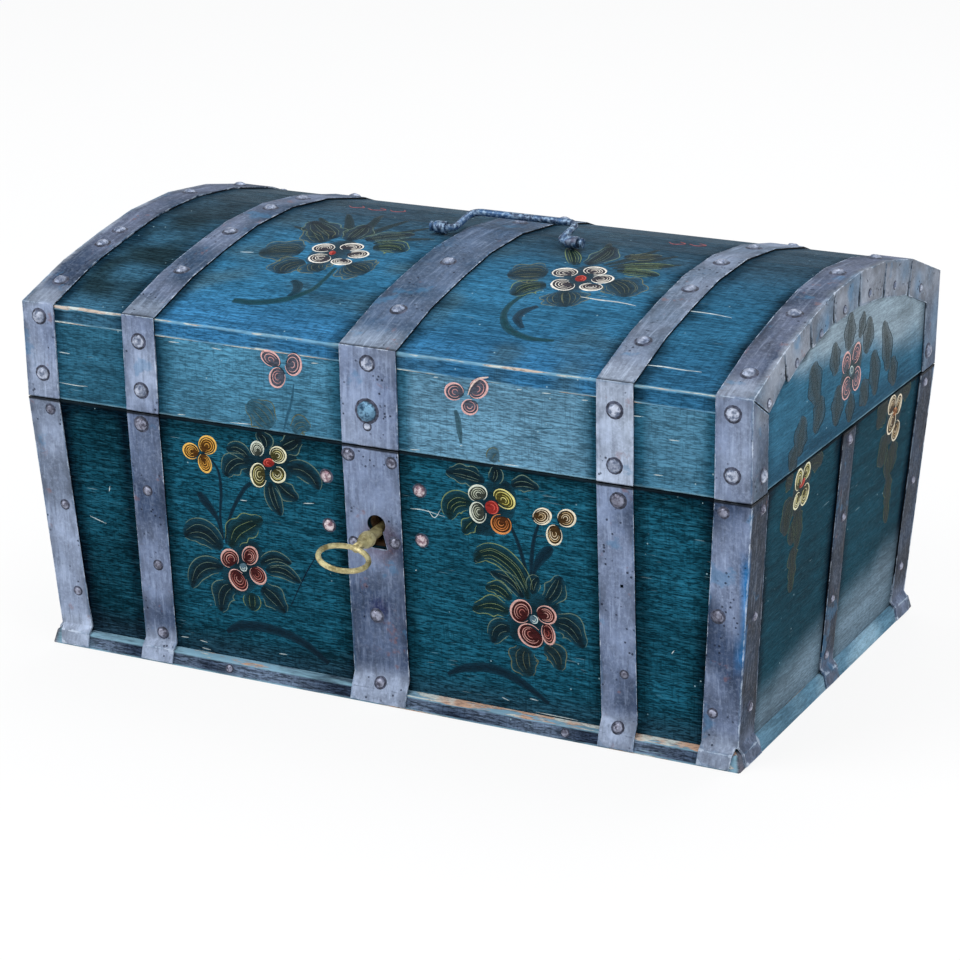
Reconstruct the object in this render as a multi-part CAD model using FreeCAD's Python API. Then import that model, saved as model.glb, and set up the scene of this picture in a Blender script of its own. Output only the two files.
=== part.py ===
import FreeCAD, Part
import math
import os

Vector = FreeCAD.Vector

# Body of the box, in millimetres, +X along its length, -Y to the front, floor at zero
half_length = 260.0
half_depth = 174.0
rim_height = 180.0
end_lean = 10.6
front_lean = 15.2
wall = 13.0
end_wall = 12.0
bottom_thickness = 12.0
seam_gap = 0.6

# Plinth moulding round the foot
plinth_height = 11.5
plinth_front_out = 8.5
plinth_end_out = 6.5
plinth_shoulder_height = 9.5
plinth_shoulder_share = 0.6

# Lid: upright rails and gables under a dome of flat staves
lid_side_height = 66.0
arris_height = rim_height + lid_side_height
lid_flare = 2.5
dome_rise = 36.5
stave = 11.0
rail = 13.0
gable = 12.0
stave_joint_share = [-0.72, -0.47, -0.235, 0.045, 0.335, 0.645]
stave_rise_share = [0.455, 0.72, 0.925, 1.0, 0.885, 0.6]

# Iron straps
strap = 1.5
corner_width = 23.0
end_flange = 27.0
mid_width = 25.0
mid_across_share = 0.6577
mid_across = half_length * mid_across_share
centre_width = 41.0
end_strap_width = 24.0
strap_foot_height = 1.0
foot_bend_height = 14.0
nailed_foot_bend_height = 18.5
foot_snip = 2.0
tab_depth = 22.0
tab_front_depth_share = [1.0, 0.95, 0.86, 0.9, 1.0, 1.05, 1.08]
tab_back_depth_share = [0.76, 0.74, 0.82, 0.96, 1.01, 1.05, 1.08]
gable_flange = 25.0
slit_mouth = 0.7
slit_root = 2.6

# Square-shanked nails with faceted heads
nail_head_radius = 4.8
nail_head_height = 2.6
nail_rim_share = 0.4
nail_sides = 6
nail_shank = 2.2
nail_length = 9.5
small_head_radius = 2.6
small_head_height = 1.3
small_shank = 1.4
small_length = 6.0
boss_nail_gap = 0.4
plinth_nail_length = 12.0

# Strap hinges at the back
hinge_offset = 4.6
knuckle_radius = 4.2
knuckle_gap = 0.3
hinge_pin_radius = 2.0
hinge_bore_clearance = 0.05
hinge_clearance = 1.0
pin_head_radius = 3.4
pin_head = 1.5
pin_head_sides = 8

# Lock behind the front board
key_across = 2.0
key_below_rim = 58.0
key_height = rim_height - key_below_rim
keyhole_radius = 6.5
keyhole_rise = 5.2
keyhole_slot_reach = 11.6
keyhole_slot_head = 1.0
keyhole_slot_top_half = 4.0
keyhole_slot_foot_half = 6.8
lock_plate = 2.0
lock_plate_edge = 5.0
lock_plate_head = 2.0
case_depth = 13.0
case_wall = 1.5
case_half = 38.0
case_below_rim = 10.0
case_up = key_below_rim - case_below_rim
case_down = 24.0
rivet_inset = 4.0
rivet_across = case_half - rivet_inset
rivet_up = 33.0
rivet_down = 1.5
rivet_tail = 1.0
rivet_head_radius = 4.3
rivet_head_height = 2.3
bolt_low = 8.0
bolt_height = 8.0
bolt_thickness = 7.7
bolt_nose_thickness = 3.0
bolt_nose_reach = 20.5
bolt_body_reach = 12.8
bolt_tail_gap = 4.5
bolt_tail_reach = case_half - case_wall - key_across - bolt_tail_gap
bolt_float = 0.3
talon_half = 10.2
talon_offset = 4.67
talon_clearance = 0.5
guide_width = 4.0
guide_wall = 2.0
guide_left_reach = 14.0
guide_tail_gap = 4.0
guide_right_reach = bolt_tail_reach - guide_tail_gap
spring_leaf = 0.6
spring_width = 6.0
spring_gap = 0.15
spring_foot_share = 0.75
spring_bend_share = 0.4
spring_touch_share = 0.25
spring_tip_share = 0.15
drill_pin_radius = 1.5
drill_pin_clearance = 0.05

# Staple that hangs from the lid into the lock
staple_left = 24.0
staple_width = 4.0
staple_depth = 8.0
staple_stand_off = 2.5
staple_eye_depth = 4.0
staple_eye_height = 9.0
staple_eye_low = 7.5
staple_toe = 4.5
staple_slot_clearance = 1.5
hasp_thickness = 2.0
hasp_left = 30.0
hasp_right = 14.0
hasp_low = 6.0
hasp_high = 50.0
hasp_web = 24.0

# Round-headed bolt through the lid's centre strap
boss_across = -1.2
boss_rise_share = 0.3586
boss_radius = 7.2
boss_rise = 3.6
boss_shank = 4.0
boss_tail = 2.0
boss_crown_share = 0.55
boss_sides = 12

# Key
key_turned = 12.0
key_stem_radius = 3.8
key_bore_depth = 14.0
key_end_gap = 1.0
key_bit_reach = 11.0
key_bit_thickness = 3.0
key_bit_start = 1.5
key_bit_length = 9.5
key_neck_radius = 3.0
key_bead_radius = 5.5
key_bead_start = 9.5
key_bead_length = 11.0
key_bead_shoulder_share = 0.1
key_bead_round_share = 0.35
key_neck_start_share = 0.3
key_bow_distance = 46.5
key_bow_radius = 16.2
key_bow_tube = 1.8
key_bow_sides = 8
key_bow_round_sides = 28
key_stem_sides = 20

# Drop handle on the dome
handle_across = 17.0
handle_pivot_back = -11.0
handle_pivot_rise = 5.0
handle_leg_half = 39.5
handle_reach = 30.0
handle_rod = 2.5
handle_rod_sides = 8
handle_bend_sides = 4
handle_corner = 7.0
handle_crank = 4.5
handle_rest_angle = 11.0
handle_end_out = 16.5
handle_knob_radius = 3.4
handle_knob = 1.5
eye_radius = 4.2
eye_clearance = 0.1
eye_length = 8.0
eye_out = 9.5
eye_spike = 2.6
eye_spike_length = 9.0

# Nails on the straps: share across the half width, of the rim's height, and of a full head's size
corner_front_left_share = [(-0.3, 0.96, 0.68), (-0.35, 0.576, 0.64), (-0.36, 0.22, 0.6)]
corner_front_right_share = [(-0.43, 0.96, 0.7), (-0.42, 0.57, 0.9), (-0.44, 0.196, 0.62)]
corner_back_share = [(-0.35, 0.955, 0.7), (-0.4, 0.573, 0.66), (-0.4, 0.21, 0.66)]
corner_end_share = [(0.25, 0.955, 0.7), (0.05, 0.557, 0.62), (0.15, 0.205, 0.66)]
mid_left_share = [(-0.12, 0.956, 1), (-0.08, 0.69, 0.66), (0.2, 0.39, 0.66), (0.14, 0.108, 0.8)]
mid_right_share = [(0.18, 0.945, 1), (0.33, 0.284, 0.56)]
mid_right_hole_share = (0.28, 0.623)
centre_share = [
    (-0.78, 0.962, 0.8), (0.74, 0.953, 0.72), (0.74, 0.644, 0.75), (-0.74, 0.622, 0.7), (-0.05, 0.342, 0.95)]
foot_nail_share = 0.5
foot_head_share = 0.78
centre_back_share = [(0.0, 0.955, 0.9), (0.1, 0.6, 0.7), (-0.1, 0.3, 0.7)]
hinge_nail_share = [(0.1, 0.86, 0.9), (-0.15, 0.6, 0.7), (0.1, 0.33, 0.7)]
end_strap_nail_share = [(0.02, 0.962, 0.8), (0.27, 0.656, 0.66), (-0.18, 0.343, 0.6), (-0.3, 0.12, 0.66)]
plinth_nail_share = [-0.44, 0.52]

# Nail places on the lid: face along the outline from front to back, share along that face
lid_left_corner_nail_share = [
    (0, 0.86), (0, 0.26), (1, 0.54), (2, 0.66), (3, 0.17), (5, 0.16), (6, 0.5), (7, 0.55), (8, 0.5)]
lid_left_nail_share = [
    (0, 0.74), (0, 0.23), (2, 0.14), (3, 0.62), (4, 0.8), (5, 0.7), (7, 0.12), (7, 0.85)]
lid_centre_nail_share = [(0, 0.84), (1, 0.86), (3, 0.48), (5, 0.75), (7, 0.1), (8, 0.5)]
lid_right_nail_share = [
    (0, 0.72), (0, 0.18), (1, 0.86), (3, 0.55), (4, 0.7), (5, 0.85), (7, 0.2), (7, 0.85)]
lid_right_corner_nail_share = [
    (0, 0.84), (0, 0.25), (1, 0.5), (3, 0.14), (4, 0.85), (6, 0.28), (7, 0.5), (8, 0.5)]
tab_nail_along_share = 0.41
tab_nail_down_share = 0.7
middle_share = 0.5
flange_nail_up_share = 0.205
flange_nail_in_share = 0.66


# Outline of the leaning walls at a height
def length_at(z):
    return half_length - end_lean * (rim_height - z) / rim_height


def depth_at(z):
    return half_depth - front_lean * (rim_height - z) / rim_height


# Flat-faced solids
def face_of(points):
    return Part.Face(Part.makePolygon(points + points[:1]))


def solid_through(sections, closed):
    """Flat-faced solid through a row of like sections, closed into a ring or capped at both ends."""
    faces = [] if closed else [face_of(sections[0]), face_of(sections[-1])]
    ends = sections[1:] + sections[:1] if closed else sections[1:]
    for near, far in zip(sections, ends):
        for i in range(len(near)):
            j = (i + 1) % len(near)
            faces.append(face_of([near[i], near[j], far[j], far[i]]))
    shell = Part.makeShell(faces)
    shell.sewShape()
    solid = Part.makeSolid(shell)
    if solid.Volume < 0:
        solid.reverse()
    return solid


def solid_between(near, far):
    """Flat-faced solid whose ends are two matching outlines."""
    return solid_through([near, far], False)


def leaning_block(x_low, x_high, y_low, y_high, z_low, z_high):
    """Block between two levels whose sides are functions of height."""
    rings = []
    for z in (z_low, z_high):
        rings.append([
            Vector(x_low(z), y_low(z), z),
            Vector(x_high(z), y_low(z), z),
            Vector(x_high(z), y_high(z), z),
            Vector(x_low(z), y_high(z), z),
        ])
    return solid_between(rings[0], rings[1])


def along_x(outline, x_low, x_high):
    """Solid with a front-to-back outline, (y, z) pairs, between two places along X."""
    face = face_of([Vector(x_low, y, z) for y, z in outline])
    return face.extrude(Vector(x_high - x_low, 0, 0))


def box_between(low, high):
    size = high - low
    return Part.makeBox(size.x, size.y, size.z, low)


def join(shapes):
    return shapes[0].multiFuse(shapes[1:]).removeSplitter()


def mirrored(shape, axis):
    return shape.mirror(Vector(0, 0, 0), axis)


# Flat paths as pairs of numbers
def unit(start, end):
    run = math.hypot(end[0] - start[0], end[1] - start[1])
    return ((end[0] - start[0]) / run, (end[1] - start[1]) / run)


def meet(first, second):
    """Point where two lines, each given by two points, cross."""
    (x1, y1), (x2, y2) = first
    (x3, y3), (x4, y4) = second
    cross = (x1 - x2) * (y3 - y4) - (y1 - y2) * (x3 - x4)
    a = x1 * y2 - y1 * x2
    b = x3 * y4 - y3 * x4
    return ((a * (x3 - x4) - (x1 - x2) * b) / cross, (a * (y3 - y4) - (y1 - y2) * b) / cross)


def shifted(line, distance):
    """Line moved to the left of its travel."""
    ux, uy = unit(line[0], line[1])
    return [(x - uy * distance, y + ux * distance) for x, y in line]


def parallel_path(path, distance):
    """Path moved to the left of its travel, mitred at its bends and square at its ends."""
    lines = [shifted([path[i], path[i + 1]], distance) for i in range(len(path) - 1)]
    moved = [lines[0][0]]
    for i in range(len(lines) - 1):
        moved.append(meet(lines[i], lines[i + 1]))
    moved.append(lines[-1][1])
    return moved


def between(start, end, share):
    return (start[0] + (end[0] - start[0]) * share, start[1] + (end[1] - start[1]) * share)


# The four sides of the body share one way of writing places: across, outward and up
def on_front(across, out, z):
    return Vector(across, -out, z)


def on_back(across, out, z):
    return Vector(across, out, z)


def on_left(across, out, z):
    return Vector(-out, across, z)


def on_right(across, out, z):
    return Vector(out, across, z)


def plinth_out(project, z):
    """How far the plinth's outer face stands off the wall at a height."""
    shoulder = project * plinth_shoulder_share
    return project - (project - shoulder) * z / plinth_shoulder_height


def wall_path(reach, project, top, bend):
    """Path of a strap from its foot over the plinth to its top, as outward and up."""
    foot = strap_foot_height
    shoulder = plinth_shoulder_height
    return [
        (reach(foot) + plinth_out(project, foot), foot),
        (reach(shoulder) + plinth_out(project, shoulder), shoulder),
        (reach(bend), bend),
        (reach(top), top),
    ]


front_path = wall_path(depth_at, plinth_front_out, rim_height, foot_bend_height)
nailed_front_path = wall_path(depth_at, plinth_front_out, rim_height, nailed_foot_bend_height)
end_path = wall_path(length_at, plinth_end_out, rim_height, foot_bend_height)


def strap_piece(side, path, low_edge, high_edge):
    """Strap on one side of the body between two edges that are functions of height."""
    outline = path + parallel_path(path, -strap)[::-1]
    near = [side(low_edge(z), out, z) for out, z in outline]
    far = [side(high_edge(z), out, z) for out, z in outline]
    return solid_between(near, far)


# Wooden body
def front_board():
    return leaning_block(
        lambda z: -length_at(z), length_at,
        lambda z: -depth_at(z), lambda z: wall - depth_at(z), 0, rim_height)


def right_end_board():
    return leaning_block(
        lambda z: length_at(z) - end_wall, length_at,
        lambda z: wall - depth_at(z), lambda z: depth_at(z) - wall, 0, rim_height)


def bottom_board():
    return leaning_block(
        lambda z: end_wall - length_at(z), lambda z: length_at(z) - end_wall,
        lambda z: wall - depth_at(z), lambda z: depth_at(z) - wall, 0, bottom_thickness)


def plinth_ring(x_side, y_side):
    """Corner section of the plinth moulding, where two lengths meet in a mitre."""
    steps = [(0, 0), (plinth_height, 0), (plinth_shoulder_height, plinth_shoulder_share), (0, 1)]
    ring = []
    for z, share in steps:
        x = length_at(z) + plinth_end_out * share
        y = depth_at(z) + plinth_front_out * share
        ring.append(Vector(x_side * x, y_side * y, z))
    return ring


def plinth_front():
    return solid_between(plinth_ring(-1, -1), plinth_ring(1, -1))


def plinth_right():
    return solid_between(plinth_ring(1, -1), plinth_ring(1, 1))


# Lid outline from the front seam over the dome to the back seam
lid_low = rim_height + seam_gap
lid_half_depth = half_depth + lid_flare
front_seam = (-half_depth, lid_low)
back_seam = (half_depth, lid_low)
dome = [(-lid_half_depth, arris_height)]
for across_share, rise_share in zip(stave_joint_share, stave_rise_share):
    dome.append((lid_half_depth * across_share, arris_height + dome_rise * rise_share))
dome.append((lid_half_depth, arris_height))
lid_outline = [front_seam] + dome + [back_seam]
stave_count = len(dome) - 1
under_path = parallel_path(dome, -stave)
front_face = (front_seam, dome[0])
back_face = (dome[-1], back_seam)
stave_under = [meet(front_face, (under_path[0], under_path[1]))] + under_path[1:-1]
stave_under.append(meet(back_face, (under_path[-2], under_path[-1])))
rail_front_inner = shifted(list(front_face), -rail)
rail_back_inner = shifted(list(back_face), -rail)
level_seam = (front_seam, back_seam)
rail_foot = meet(rail_front_inner, level_seam)
rail_head = meet(rail_front_inner, (stave_under[0], stave_under[1]))
back_rail_foot = meet(rail_back_inner, level_seam)
back_rail_head = meet(rail_back_inner, (stave_under[-2], stave_under[-1]))


def lid_front_rail():
    return along_x([front_seam, rail_foot, rail_head, stave_under[0]], -half_length, half_length)


def lid_back_rail():
    return along_x([back_seam, back_rail_foot, back_rail_head, stave_under[-1]], -half_length, half_length)


def lid_right_gable():
    outline = [rail_foot, rail_head] + stave_under[1:-1] + [back_rail_head, back_rail_foot]
    return along_x(outline, half_length - gable, half_length)


def lid_stave(i):
    outline = [dome[i], dome[i + 1], stave_under[i + 1], stave_under[i]]
    return along_x(outline, -half_length, half_length)


# Body straps
def straight(value):
    return lambda z: value


def corner_strap():
    """Angle iron on the front right corner, its two feet snipped apart over the plinth."""
    bend = foot_bend_height

    def front_inner(z):
        return length_at(z) - corner_width

    def front_outer(z):
        return length_at(z) + strap

    def front_snip(z):
        return length_at(bend) - foot_snip * (bend - z) / bend

    def end_inner(z):
        return end_flange - depth_at(z)

    def end_outer(z):
        return -depth_at(z)

    def end_snip(z):
        return foot_snip * (bend - z) / bend - depth_at(bend)

    return join([
        strap_piece(on_front, front_path[2:], front_inner, front_outer),
        strap_piece(on_right, end_path[2:], end_outer, end_inner),
        strap_piece(on_front, front_path[:3], front_inner, front_snip),
        strap_piece(on_right, end_path[:3], end_snip, end_inner),
    ])


def front_strap(path, centre, width):
    return strap_piece(on_front, path, straight(centre - width / 2), straight(centre + width / 2))


def back_centre_strap():
    return strap_piece(on_back, front_path, straight(-centre_width / 2), straight(centre_width / 2))


def end_strap():
    return strap_piece(on_right, end_path, straight(-end_strap_width / 2), straight(end_strap_width / 2))


# Strap hinges
hinge_y = half_depth + hinge_offset
hinge_z = rim_height + seam_gap / 2
knuckle_length = (mid_width - 2 * knuckle_gap) / 3
leaf_clear = knuckle_radius + hinge_clearance


def barrel(centre, start, length, radius):
    """Round bar along X on a hinge's axis."""
    return Part.makeCylinder(radius, length, Vector(centre + start, hinge_y, hinge_z), Vector(1, 0, 0))


def hinge_strap(centre):
    """Body leaf: a strap down the back board with the two outer knuckles on top."""
    half = mid_width / 2
    below = wall_path(depth_at, plinth_front_out, rim_height - leaf_clear, foot_bend_height)
    pieces = [strap_piece(on_back, below, straight(centre - half), straight(centre + half))]
    for start in (-half, half - knuckle_length):
        low = centre + start
        ear = strap_piece(on_back, front_path[2:], straight(low), straight(low + knuckle_length))
        pieces += [ear, barrel(centre, start, knuckle_length, knuckle_radius)]
    bore = hinge_pin_radius + hinge_bore_clearance
    return join(pieces).cut(barrel(centre, -half, mid_width, bore))


def pin_end(centre, start):
    """Hammered end of a hinge pin, with flats."""
    step = 2 * math.pi / pin_head_sides
    outline = []
    for i in range(pin_head_sides):
        y = hinge_y + pin_head_radius * math.cos(i * step)
        z = hinge_z + pin_head_radius * math.sin(i * step)
        outline.append((y, z))
    return along_x(outline, centre + start, centre + start + pin_head)


def hinge_pins():
    pins = []
    half = mid_width / 2
    for centre in (-mid_across, mid_across):
        shaft = barrel(centre, -half, mid_width, hinge_pin_radius)
        pins.append(join([shaft, pin_end(centre, -half - pin_head), pin_end(centre, half)]))
    return pins


# Lid straps
lid_strap_outer = parallel_path(lid_outline, strap)


def lid_band(x_low, x_high):
    return along_x(lid_outline + lid_strap_outer[::-1], x_low, x_high)


def lid_hinge_strap(centre):
    """Lid leaf: a strap from the front seam over the dome with the middle knuckle at the back."""
    half = mid_width / 2
    stop = lid_low + leaf_clear
    back_low = meet(back_face, ((0, stop), (1, stop)))
    cut_outline = lid_outline[:-1] + [back_low]
    cut_outer = parallel_path(cut_outline, strap)
    band = along_x(cut_outline + cut_outer[::-1], centre - half, centre + half)
    tongue_path = [dome[-1], back_seam]
    tongue_outline = tongue_path + parallel_path(tongue_path, strap)[::-1]
    start = -knuckle_length / 2
    tongue = along_x(tongue_outline, centre + start, centre + start + knuckle_length)
    knuckle = barrel(centre, start, knuckle_length, knuckle_radius)
    bore = barrel(centre, -half, mid_width, hinge_pin_radius + hinge_bore_clearance)
    return join([band, tongue, knuckle]).cut(bore)


def tab_corner(i, depth_share):
    """Place under a joint between staves, at a share of the tabs' depth."""
    return parallel_path(dome, -tab_depth * depth_share)[i]


def flange_head(face, arris, depth_share):
    """Where a flange's inner edge meets the lower edge of the tab next to it."""
    inner = parallel_path(dome, -tab_depth * depth_share)
    slope = (inner[0], inner[1]) if arris == dome[0] else (inner[-2], inner[-1])
    return meet(shifted(list(face), -gable_flange), slope)


front_flange_head = flange_head(front_face, dome[0], tab_front_depth_share[0])
back_flange_head = flange_head(back_face, dome[-1], tab_back_depth_share[-1])


def slit_tab(i):
    """One tab of the corner strap, folded down the gable over one stave."""
    run = unit(dome[i], dome[i + 1])
    start = tab_corner(i, tab_front_depth_share[i])
    end = tab_corner(i + 1, tab_back_depth_share[i])
    outline = [
        (dome[i][0] + run[0] * slit_mouth, dome[i][1] + run[1] * slit_mouth),
        (dome[i + 1][0] - run[0] * slit_mouth, dome[i + 1][1] - run[1] * slit_mouth),
        (end[0] - run[0] * slit_root, end[1] - run[1] * slit_root),
        (start[0] + run[0] * slit_root, start[1] + run[1] * slit_root),
    ]
    if i == 0:
        head = front_flange_head
        outline[3] = (head[0] + run[0] * slit_mouth, head[1] + run[1] * slit_mouth)
    if i == stave_count - 1:
        outline[1] = dome[-1]
        outline[2] = back_flange_head
    return along_x(outline, half_length, half_length + strap)


def gable_flanges():
    """Upright flanges on the gable's edges, cut free of the tabs in front and joined to them behind."""
    pieces = []
    for face, seam, arris, head, drop in (
            (front_face, front_seam, dome[0], front_flange_head, slit_mouth),
            (back_face, back_seam, dome[-1], back_flange_head, 0)):
        foot = meet(shifted(list(face), -gable_flange), level_seam)
        outline = [seam, (arris[0], arris[1] - drop), (head[0], head[1] - drop), foot]
        pieces.append(along_x(outline, half_length, half_length + strap))
    return pieces


def lid_corner_strap():
    pieces = [lid_band(half_length - corner_width, half_length + strap)]
    pieces += [slit_tab(i) for i in range(stave_count)]
    return join(pieces + gable_flanges())


# Nails: each is a head on the strap and a square shank that goes through it into the wood
def ring(radius, z, sides):
    step = 2 * math.pi / sides
    return [Vector(radius * math.cos(i * step), radius * math.sin(i * step), z) for i in range(sides)]


def spire(outline, tip):
    """Flat-faced solid that runs from an outline to a point."""
    faces = [face_of(outline)]
    for i in range(len(outline)):
        faces.append(face_of([outline[i], outline[(i + 1) % len(outline)], tip]))
    shell = Part.makeShell(faces)
    shell.sewShape()
    solid = Part.makeSolid(shell)
    if solid.Volume < 0:
        solid.reverse()
    return solid


def square(half, z):
    return [Vector(-half, -half, z), Vector(half, -half, z), Vector(half, half, z), Vector(-half, half, z)]


def nail_shaft(shank, length):
    """Square shank that tapers to a point."""
    return spire(square(shank / 2, 0), Vector(0, 0, -length))


def nail(head_radius, head_height, shank, length):
    """Nail along -Z, its head hammered to facets that meet over the plane z = 0."""
    rim = head_height * nail_rim_share
    return join([
        solid_between(ring(head_radius, 0, nail_sides), ring(head_radius, rim, nail_sides)),
        spire(ring(head_radius, rim, nail_sides), Vector(0, 0, head_height)),
        nail_shaft(shank, length),
    ])


def strap_nail(head_share):
    """Nail whose head is worn to a share of its full size."""
    return nail(nail_head_radius * head_share, nail_head_height * head_share, nail_shank, nail_length)


def rivet_shaft(shank, length):
    """Square shank of one thickness."""
    return solid_between(square(shank / 2, -length), square(shank / 2, 0))


def rivet(head_radius, head_height, shank, length, sides):
    """Rivet along -Z, its head a low faceted dome."""
    rim = head_height * nail_rim_share
    crown = head_radius * boss_crown_share
    return join([
        solid_between(ring(head_radius, 0, sides), ring(head_radius, rim, sides)),
        solid_between(ring(head_radius, rim, sides), ring(crown, head_height, sides)),
        rivet_shaft(shank, length),
    ])


def placement(point, normal, along):
    """Placement that stands a piece on a surface, its own X along the strap's width."""
    turn = FreeCAD.Rotation(along, normal.cross(along), normal, "ZXY")
    return FreeCAD.Placement(point, turn)


def placed(shape, where):
    copy = shape.copy()
    copy.Placement = where.multiply(shape.Placement)
    return copy


class Fasteners:
    """A run of like nails or rivets on one body with the holes that they need."""

    def __init__(self, model, hole):
        self.model = model
        self.hole = hole
        self.solids = []
        self.holes = []

    def drive(self, where, model=None):
        self.solids.append(placed(model or self.model, where))
        self.holes.append(placed(self.hole, where))

    def hole_only(self, where):
        self.holes.append(placed(self.hole, where))


def wall_spot(side, path, face, share, across):
    """Place on the outside of a strap on one side of the body."""
    outer = parallel_path(path, -strap)
    out, z = between(outer[face], outer[face + 1], share)
    run = unit(outer[face], outer[face + 1])
    point = side(across, out, z)
    origin = side(0, 0, 0)
    normal = side(0, run[1], -run[0]) - origin
    return placement(point, normal, side(1, 0, 0) - origin)


def wall_share(path, z):
    """Share along a strap's upright face at a height."""
    return (z - path[2][1]) / (path[3][1] - path[2][1])


def drive_wall(nails, side, path, centre, half, table):
    """Nails on an upright strap from a table of shares across and up and of their heads."""
    for across_share, height_share, head_share in table:
        z = height_share * rim_height
        across = centre(z) + across_share * half
        nails.drive(wall_spot(side, path, 2, wall_share(path, z), across), strap_nail(head_share))


def body_nail_places(nails):
    corner_half = corner_width / 2
    mid_half = mid_width / 2
    centre_half = centre_width / 2
    flange_half = (end_flange - strap) / 2

    def right_corner(z):
        return length_at(z) - corner_half

    def left_corner(z):
        return corner_half - length_at(z)

    def front_flange(z):
        return strap + flange_half - depth_at(z)

    def back_flange(z):
        return depth_at(z) - strap - flange_half

    for side, left_table, right_table in (
            (on_front, corner_front_left_share, corner_front_right_share),
            (on_back, corner_back_share, corner_back_share)):
        drive_wall(nails, side, front_path, right_corner, corner_half, right_table)
        drive_wall(nails, side, front_path, left_corner, -corner_half, left_table)
    for side in (on_left, on_right):
        drive_wall(nails, side, end_path, front_flange, flange_half, corner_end_share)
        drive_wall(nails, side, end_path, back_flange, -flange_half, corner_end_share)
        drive_wall(nails, side, end_path, straight(0), end_strap_width / 2, end_strap_nail_share)
    drive_wall(nails, on_front, front_path, straight(-mid_across), mid_half, mid_left_share)
    drive_wall(nails, on_front, front_path, straight(mid_across), mid_half, mid_right_share)
    drive_wall(nails, on_front, front_path, straight(0), centre_half, centre_share)
    drive_wall(nails, on_back, front_path, straight(0), centre_half, centre_back_share)
    for centre in (-mid_across, mid_across):
        drive_wall(nails, on_back, front_path, straight(centre), mid_half, hinge_nail_share)
    across_share, height_share = mid_right_hole_share
    share = wall_share(front_path, height_share * rim_height)
    across = mid_across + across_share * mid_half
    nails.hole_only(wall_spot(on_front, front_path, 2, share, across))
    for across in (0, mid_across):
        nails.drive(
            wall_spot(on_front, nailed_front_path, 1, foot_nail_share, across), strap_nail(foot_head_share))


def plinth_nail_places(nails):
    middle = plinth_shoulder_height / 2
    foot = depth_at(0) + plinth_front_out
    shoulder = depth_at(plinth_shoulder_height) + plinth_out(plinth_front_out, plinth_shoulder_height)
    run = unit((foot, 0), (shoulder, plinth_shoulder_height))
    out = (foot + shoulder) / 2
    for side in (on_front, on_back):
        origin = side(0, 0, 0)
        normal = side(0, run[1], -run[0]) - origin
        for share in plinth_nail_share:
            point = side(share * half_length, out, middle)
            nails.drive(placement(point, normal, side(1, 0, 0) - origin))


def lid_spot(face, share, x):
    """Place on the outside of a lid strap, face counted from the front rail."""
    start = lid_strap_outer[face]
    end = lid_strap_outer[face + 1]
    y, z = between(start, end, share)
    run = unit(start, end)
    return placement(Vector(x, y, z), Vector(0, -run[1], run[0]), Vector(1, 0, 0))


def gable_spot(y, z, sign):
    point = Vector(sign * (half_length + strap), y, z)
    return placement(point, Vector(sign, 0, 0), Vector(0, 1, 0))


def lid_nail_places(nails):
    corner = half_length - corner_width / 2
    for x, table in (
            (-corner, lid_left_corner_nail_share), (-mid_across, lid_left_nail_share),
            (0, lid_centre_nail_share), (mid_across, lid_right_nail_share),
            (corner, lid_right_corner_nail_share)):
        for face, share in table:
            nails.drive(lid_spot(face, share, x))
    for sign in (-1, 1):
        for face in (front_face, back_face[::-1]):
            y, z = between(face[0], face[1], flange_nail_up_share)
            inward = -math.copysign(gable_flange * flange_nail_in_share, y)
            nails.drive(gable_spot(y + inward, z, sign))


def tab_nail_places(nails):
    inner = parallel_path(dome, -tab_depth)
    for sign in (-1, 1):
        for i in range(stave_count):
            top = between(dome[i], dome[i + 1], tab_nail_along_share)
            foot = between(inner[i], inner[i + 1], tab_nail_along_share)
            y, z = between(top, foot, tab_nail_down_share)
            nails.drive(gable_spot(y, z, sign))


# Places in the lock: right, up the wall from the key's axis, and out from the wall's face
lean = math.atan(front_lean / rim_height)
wall_normal = wall * math.cos(lean)
lock_origin = Vector(0, -depth_at(key_height), key_height)
lock_frame = FreeCAD.Placement(lock_origin, FreeCAD.Rotation(Vector(1, 0, 0), 90 + math.degrees(lean)))
case_floor = -(wall_normal + lock_plate)


def in_lock(shape):
    return placed(shape, lock_frame)


def lock_box(x, v, c):
    """Box in the lock from ranges across, up and in from the lock plate."""
    low = Vector(x[0], v[0], case_floor - c[1])
    high = Vector(x[1], v[1], case_floor - c[0])
    return box_between(low, high)


def keyhole():
    """Cutter for the keyhole through strap, board and lock plate."""
    over = lock_plate
    low = case_floor - over
    depth = strap + over - low
    round_part = Part.makeCylinder(keyhole_radius, depth, Vector(key_across, keyhole_rise, low))
    foot = -keyhole_slot_reach
    slot = face_of([
        Vector(key_across - keyhole_slot_top_half, keyhole_slot_head, low),
        Vector(key_across + keyhole_slot_top_half, keyhole_slot_head, low),
        Vector(key_across + keyhole_slot_foot_half, foot, low),
        Vector(key_across - keyhole_slot_foot_half, foot, low),
    ]).extrude(Vector(0, 0, depth))
    return in_lock(round_part.fuse(slot))


def plate_with_guides():
    half = case_half + lock_plate_edge
    low = -case_down - lock_plate_edge
    plate = lock_box((-half, half), (low, case_up + lock_plate_head), (-lock_plate, 0))
    pieces = [plate]
    low = bolt_low - bolt_float
    high = bolt_low + bolt_height + bolt_float
    deep = bolt_thickness + 2 * bolt_float
    for reach in (-guide_left_reach, guide_right_reach):
        x = (reach - guide_width / 2, reach + guide_width / 2)
        outer = lock_box(x, (low - guide_wall, high + guide_wall), (0, deep + guide_wall))
        pieces.append(outer.cut(lock_box(x, (low, high), (0, deep))))
    return in_lock(join(pieces))


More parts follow.
